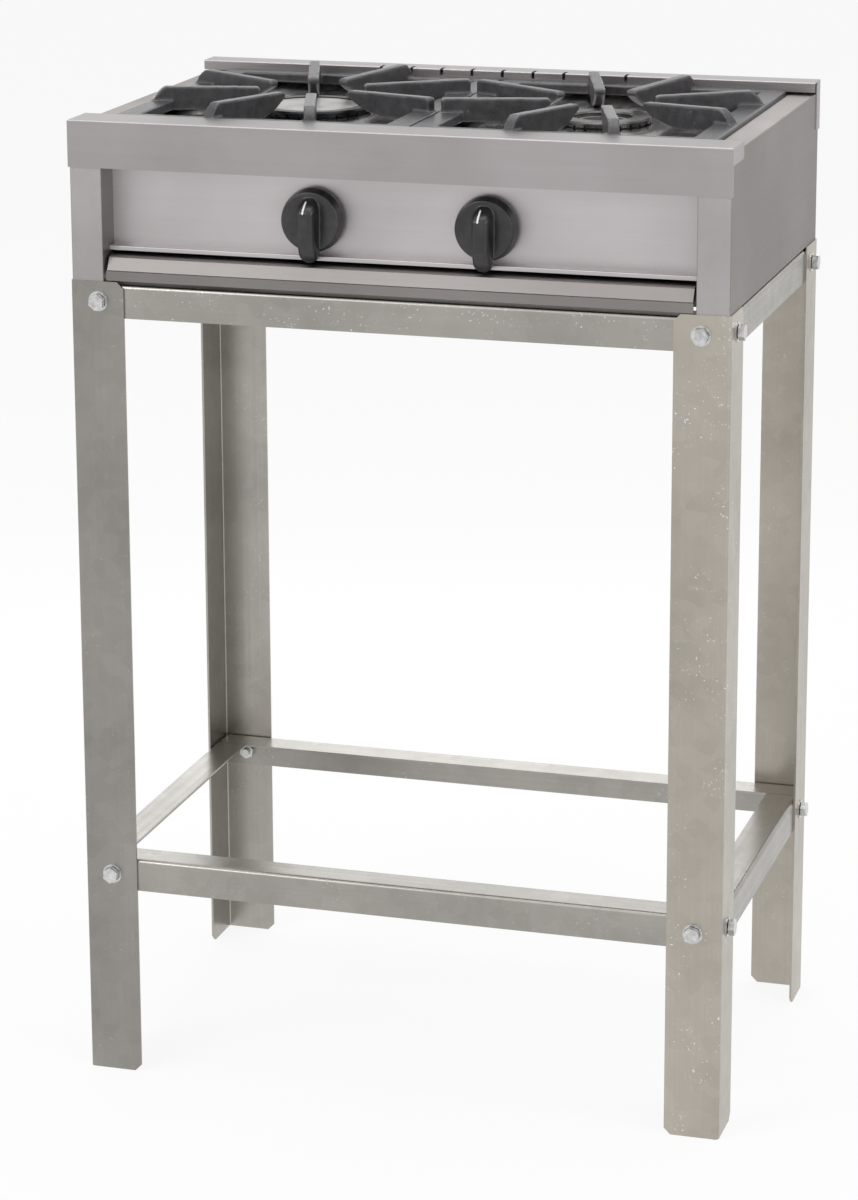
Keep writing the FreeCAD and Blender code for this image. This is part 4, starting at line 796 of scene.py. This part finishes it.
class RANGE_OT_knobs(bpy.types.Operator):
    """Moulds the knobs' rounded grips and fills the pointer lines"""
    bl_idname = "range.knobs"
    bl_label = "Knobs"

    def execute(self, context):
        values = context.scene.range_knobs
        black = moulded_phenolic("moulded_phenolic", values.phenolic, values.roughness)
        white = filled_pointer_paint("pointer_enamel")
        for side in SIDES:
            name = f"knob_{side}"
            low, high = (Vector(corner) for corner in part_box(name))
            centre = Vector(((low.x + high.x) / 2, high.y, high.z - (high.x - low.x) / 2))
            shape = bmesh.new()
            self.disc(shape, centre, values)
            self.grip(shape, centre, values)
            made = rounded(f"{name}_moulding", poured(f"{name}_blank", shape), values.step, 4, black)
            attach(made, name)
            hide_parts(name)
            pointer = self.pointer(f"pointer_{side}", centre, values)
            pointer.data.materials.append(white)
            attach(pointer, name)
        return {"FINISHED"}

    def disc(self, shape, centre, values):
        """The hollow skirted disc, as rings round the stem's axis from the hub's bore to the outside: bore,
        hub, hollow, rim and slightly dished face, in mm in front of the skirt's back and from the axis."""
        rim, depth, steps = values.disc_radius / MM, values.disc_depth / MM, 96
        section = ((10.4, 4.5), (1.0, 4.5), (1.0, 8.0), (depth - 4.4, 8.0), (depth - 4.4, rim - 4.9),
                   (4.0, rim - 2.4), (0.2, rim - 2.4), (0.1, rim - 0.1), (4.0, rim - 0.1),
                   (depth - 0.8, rim - 2.2), (depth - 0.1, rim - 3.1), (depth - 0.4, 20.0),
                   (depth - 1.2, 9.0), (depth - 1.5, 1.0))
        turns = [math.tau * step / steps for step in range(steps)]
        bridge(shape, [[centre + Vector((radius * math.cos(turn), -ahead, radius * math.sin(turn))) * MM
                        for turn in turns] for ahead, radius in section])

    def reach(self, height, values):
        """How far the grip stands out of the disc's face, at a height above the axis."""
        if height > values.grip_bend:
            up = (height - values.grip_bend) / (values.grip_top - values.grip_bend)
            return values.grip_depth * max(1 - up ** 1.5, 0.02)
        if height > values.grip_fall:
            return values.grip_depth
        down = (values.grip_fall - height) / (values.grip_fall - values.grip_tail)
        return values.grip_foot + (values.grip_depth - values.grip_foot) * max(1 - down ** 1.7, 0.0)

    def half_width(self, height, values):
        """Half the grip's width at a height: both its ends are half circles."""
        half = values.grip_width / 2
        over = max(height - (values.grip_top - half), (values.grip_tail + half) - height, 0.0)
        return max(half * math.sqrt(max(1 - (over / half) ** 2, 0.0)), 0.6 * MM)

    def grip(self, shape, centre, values):
        """The grip, as level rings from its tail to its top, each a rounded bar that is sunk in the disc."""
        steps, turns = 72, 20
        top, tail = values.grip_top - GRIP_END, values.grip_tail + GRIP_END
        rings = []
        for step in range(steps + 1):
            height = tail + (top - tail) * (0.5 - 0.5 * math.cos(math.pi * step / steps))
            half, reach = self.half_width(height, values), self.reach(height, values) - GRIP_SKIN
            sunk = 1.4 * MM if height < -values.disc_radius * 0.8 else 2.6 * MM
            ring = []
            for turn in (math.pi * number / turns for number in range(turns + 1)):
                across = math.copysign(abs(math.cos(turn)) ** GRIP_SQUARENESS, math.cos(turn))
                out = values.disc_depth + reach * math.sin(turn) ** GRIP_SQUARENESS
                ring.append(centre + Vector((half * across, -out, height)))
            ring += [centre + Vector((x, sunk - values.disc_depth, height)) for x in (-half, half)]
            rings.append(ring)
        bridge(shape, rings)

    def pointer(self, name, centre, values):
        """A thin line of enamel down the grip's sloping top end."""
        steps, near = 16, 0.1 * MM
        top, foot = values.grip_top - values.pointer_gap, values.grip_bend - 0.5 * MM
        rings = []
        for step in range(steps + 1):
            along = step / steps
            height = top + (foot - top) * along
            width = values.pointer_width / 2 * math.sqrt(max(1 - (2 * along - 1) ** 8, 0.02))
            slope = (self.reach(height + near, values) - self.reach(height - near, values)) / (2 * near)
            out = Vector((0.0, -1.0, -slope)).normalized()
            stand = values.disc_depth + self.reach(height, values) - GRIP_SKIN
            spot = centre + Vector((-values.pointer_aside, -stand, height))
            rings.append([spot + Vector((x * width, 0, 0)) + out * lift * MM
                          for x, lift in ((-1, -0.5), (-0.8, 0.22), (0.8, 0.22), (1, -0.5))])
        shape = bmesh.new()
        bridge(shape, rings)
        return poured(name, shape)


# the soft boxes: place, width, and height where the box isn't round
LAMPS = {"key": ((-2.2, -2.8, 2.6), 2.2, None), "fill": ((2.8, -1.2, 1.8), 2.0, None),
         "top": ((0.0, 0.3, 2.9), 2.4, None), "back": ((-0.6, 1.7, 0.74), 2.2, 0.5)}


class RANGE_OT_stage(bpy.types.Operator):
    """Sets the floor, the lights and the camera"""
    bl_idname = "range.stage"
    bl_label = "Studio"

    def execute(self, context):
        values = context.scene.range_studio
        self.world(context.scene, values.sky)
        self.floor(values)
        for name, (place, width, height) in LAMPS.items():
            self.light(f"{name}_light", place, width, height, getattr(values, f"{name}_power"))
        self.camera(context.scene, values)
        context.scene.view_settings.view_transform = "Standard"
        return {"FINISHED"}

    def seen(self, tree):
        """1 for rays that show the background itself: from the camera, in gloss and through glass."""
        rays = add(tree, "ShaderNodeLightPath").outputs
        both = combine(tree, "MAXIMUM", rays["Is Camera Ray"], rays["Is Glossy Ray"])
        return combine(tree, "MAXIMUM", both, rays["Is Transmission Ray"])

    def world(self, scene, strength):
        world = bpy.data.worlds.new("studio")
        scene.world = world
        world.use_nodes = True
        tree = world.node_tree
        tree.nodes.clear()
        level = remap(tree, self.seen(tree), 0.0, 1.0, strength, 1.0)
        shade = add(tree, "ShaderNodeBackground", {"Color": (1.0, 1.0, 1.0, 1.0), "Strength": level})
        add(tree, "ShaderNodeOutputWorld", {"Surface": shade.outputs[0]})

    def floor(self, values):
        shape = bmesh.new()
        bmesh.ops.create_grid(shape, x_segments=4, y_segments=4, size=14.0)
        made = poured("studio_floor", shape)
        material, tree = new_material("pale_studio_floor")
        paint = add(tree, "ShaderNodeBsdfDiffuse", {"Color": opaque(values.paper)})
        glow = add(tree, "ShaderNodeEmission", {"Color": (1.0, 1.0, 1.0, 1.0), "Strength": 1.0})
        glowing = combine(tree, "MULTIPLY", self.seen(tree), values.paper_glow)
        both = add(tree, "ShaderNodeMixShader", {0: glowing, 1: paint.outputs[0], 2: glow.outputs[0]})
        add(tree, "ShaderNodeOutputMaterial", {"Surface": both.outputs[0]})
        made.data.materials.append(material)

    def light(self, name, place, width, height, watts):
        """A soft box that faces the range: round, or a rectangle if it has a height."""
        lamp = bpy.data.lights.new(name, "AREA")
        lamp.shape = "RECTANGLE" if height else "DISK"
        lamp.size = width
        lamp.size_y = height or width
        lamp.energy = watts
        made = bpy.data.objects.new(name, lamp)
        made.location = place
        target = Vector((0.0, 0.0, min(place[2], 0.6)))
        made.rotation_euler = (target - made.location).to_track_quat("-Z", "Y").to_euler()
        made.visible_camera = False
        bpy.context.scene.collection.objects.link(made)

    def camera(self, scene, values):
        lens = bpy.data.cameras.new("studio_camera")
        lens.sensor_width = 36.0
        lens.lens = lens.sensor_width * values.focal_share
        lens.shift_y = values.rise
        lens.clip_end = 60.0
        made = bpy.data.objects.new("studio_camera", lens)
        turn = (Matrix.Rotation(values.camera_turn, 4, "Z")
                @ Matrix.Rotation(math.pi / 2 - values.camera_tilt, 4, "X")
                @ Matrix.Rotation(values.camera_roll, 4, "Z"))
        made.matrix_world = Matrix.Translation(values.camera_place) @ turn
        scene.collection.objects.link(made)
        scene.camera = made


class RANGE_PT_sidebar(bpy.types.Panel):
    """Lists the range's pieces"""
    bl_idname = "RANGE_PT_sidebar"
    bl_label = "Stock pot range"
    bl_space_type = "VIEW_3D"
    bl_region_type = "UI"
    bl_category = "Range"

    def draw(self, context):
        for operator in OPERATORS:
            self.layout.operator(operator.bl_idname)


SETTINGS = {"range_studio": StudioSettings, "range_stand": StandSettings,
            "range_fasteners": FastenerSettings, "range_casing": CasingSettings,
            "range_castings": CastingSettings, "range_burners": BurnerSettings,
            "range_knobs": KnobSettings}
OPERATORS = (RANGE_OT_stand, RANGE_OT_fasteners, RANGE_OT_casing, RANGE_OT_grates,
             RANGE_OT_burners, RANGE_OT_gas_train, RANGE_OT_knobs, RANGE_OT_stage)


def register():
    for name, group in SETTINGS.items():
        bpy.utils.register_class(group)
        setattr(bpy.types.Scene, name, bpy.props.PointerProperty(type=group))
    for operator in OPERATORS:
        bpy.utils.register_class(operator)
    bpy.utils.register_class(RANGE_PT_sidebar)


def unregister():
    bpy.utils.unregister_class(RANGE_PT_sidebar)
    for operator in reversed(OPERATORS):
        bpy.utils.unregister_class(operator)
    for name, group in SETTINGS.items():
        delattr(bpy.types.Scene, name)
        bpy.utils.unregister_class(group)


def main():
    register()
    for operator in OPERATORS:
        family, name = operator.bl_idname.split(".")
        getattr(getattr(bpy.ops, family), name)()


if __name__ == "__main__":
    main()
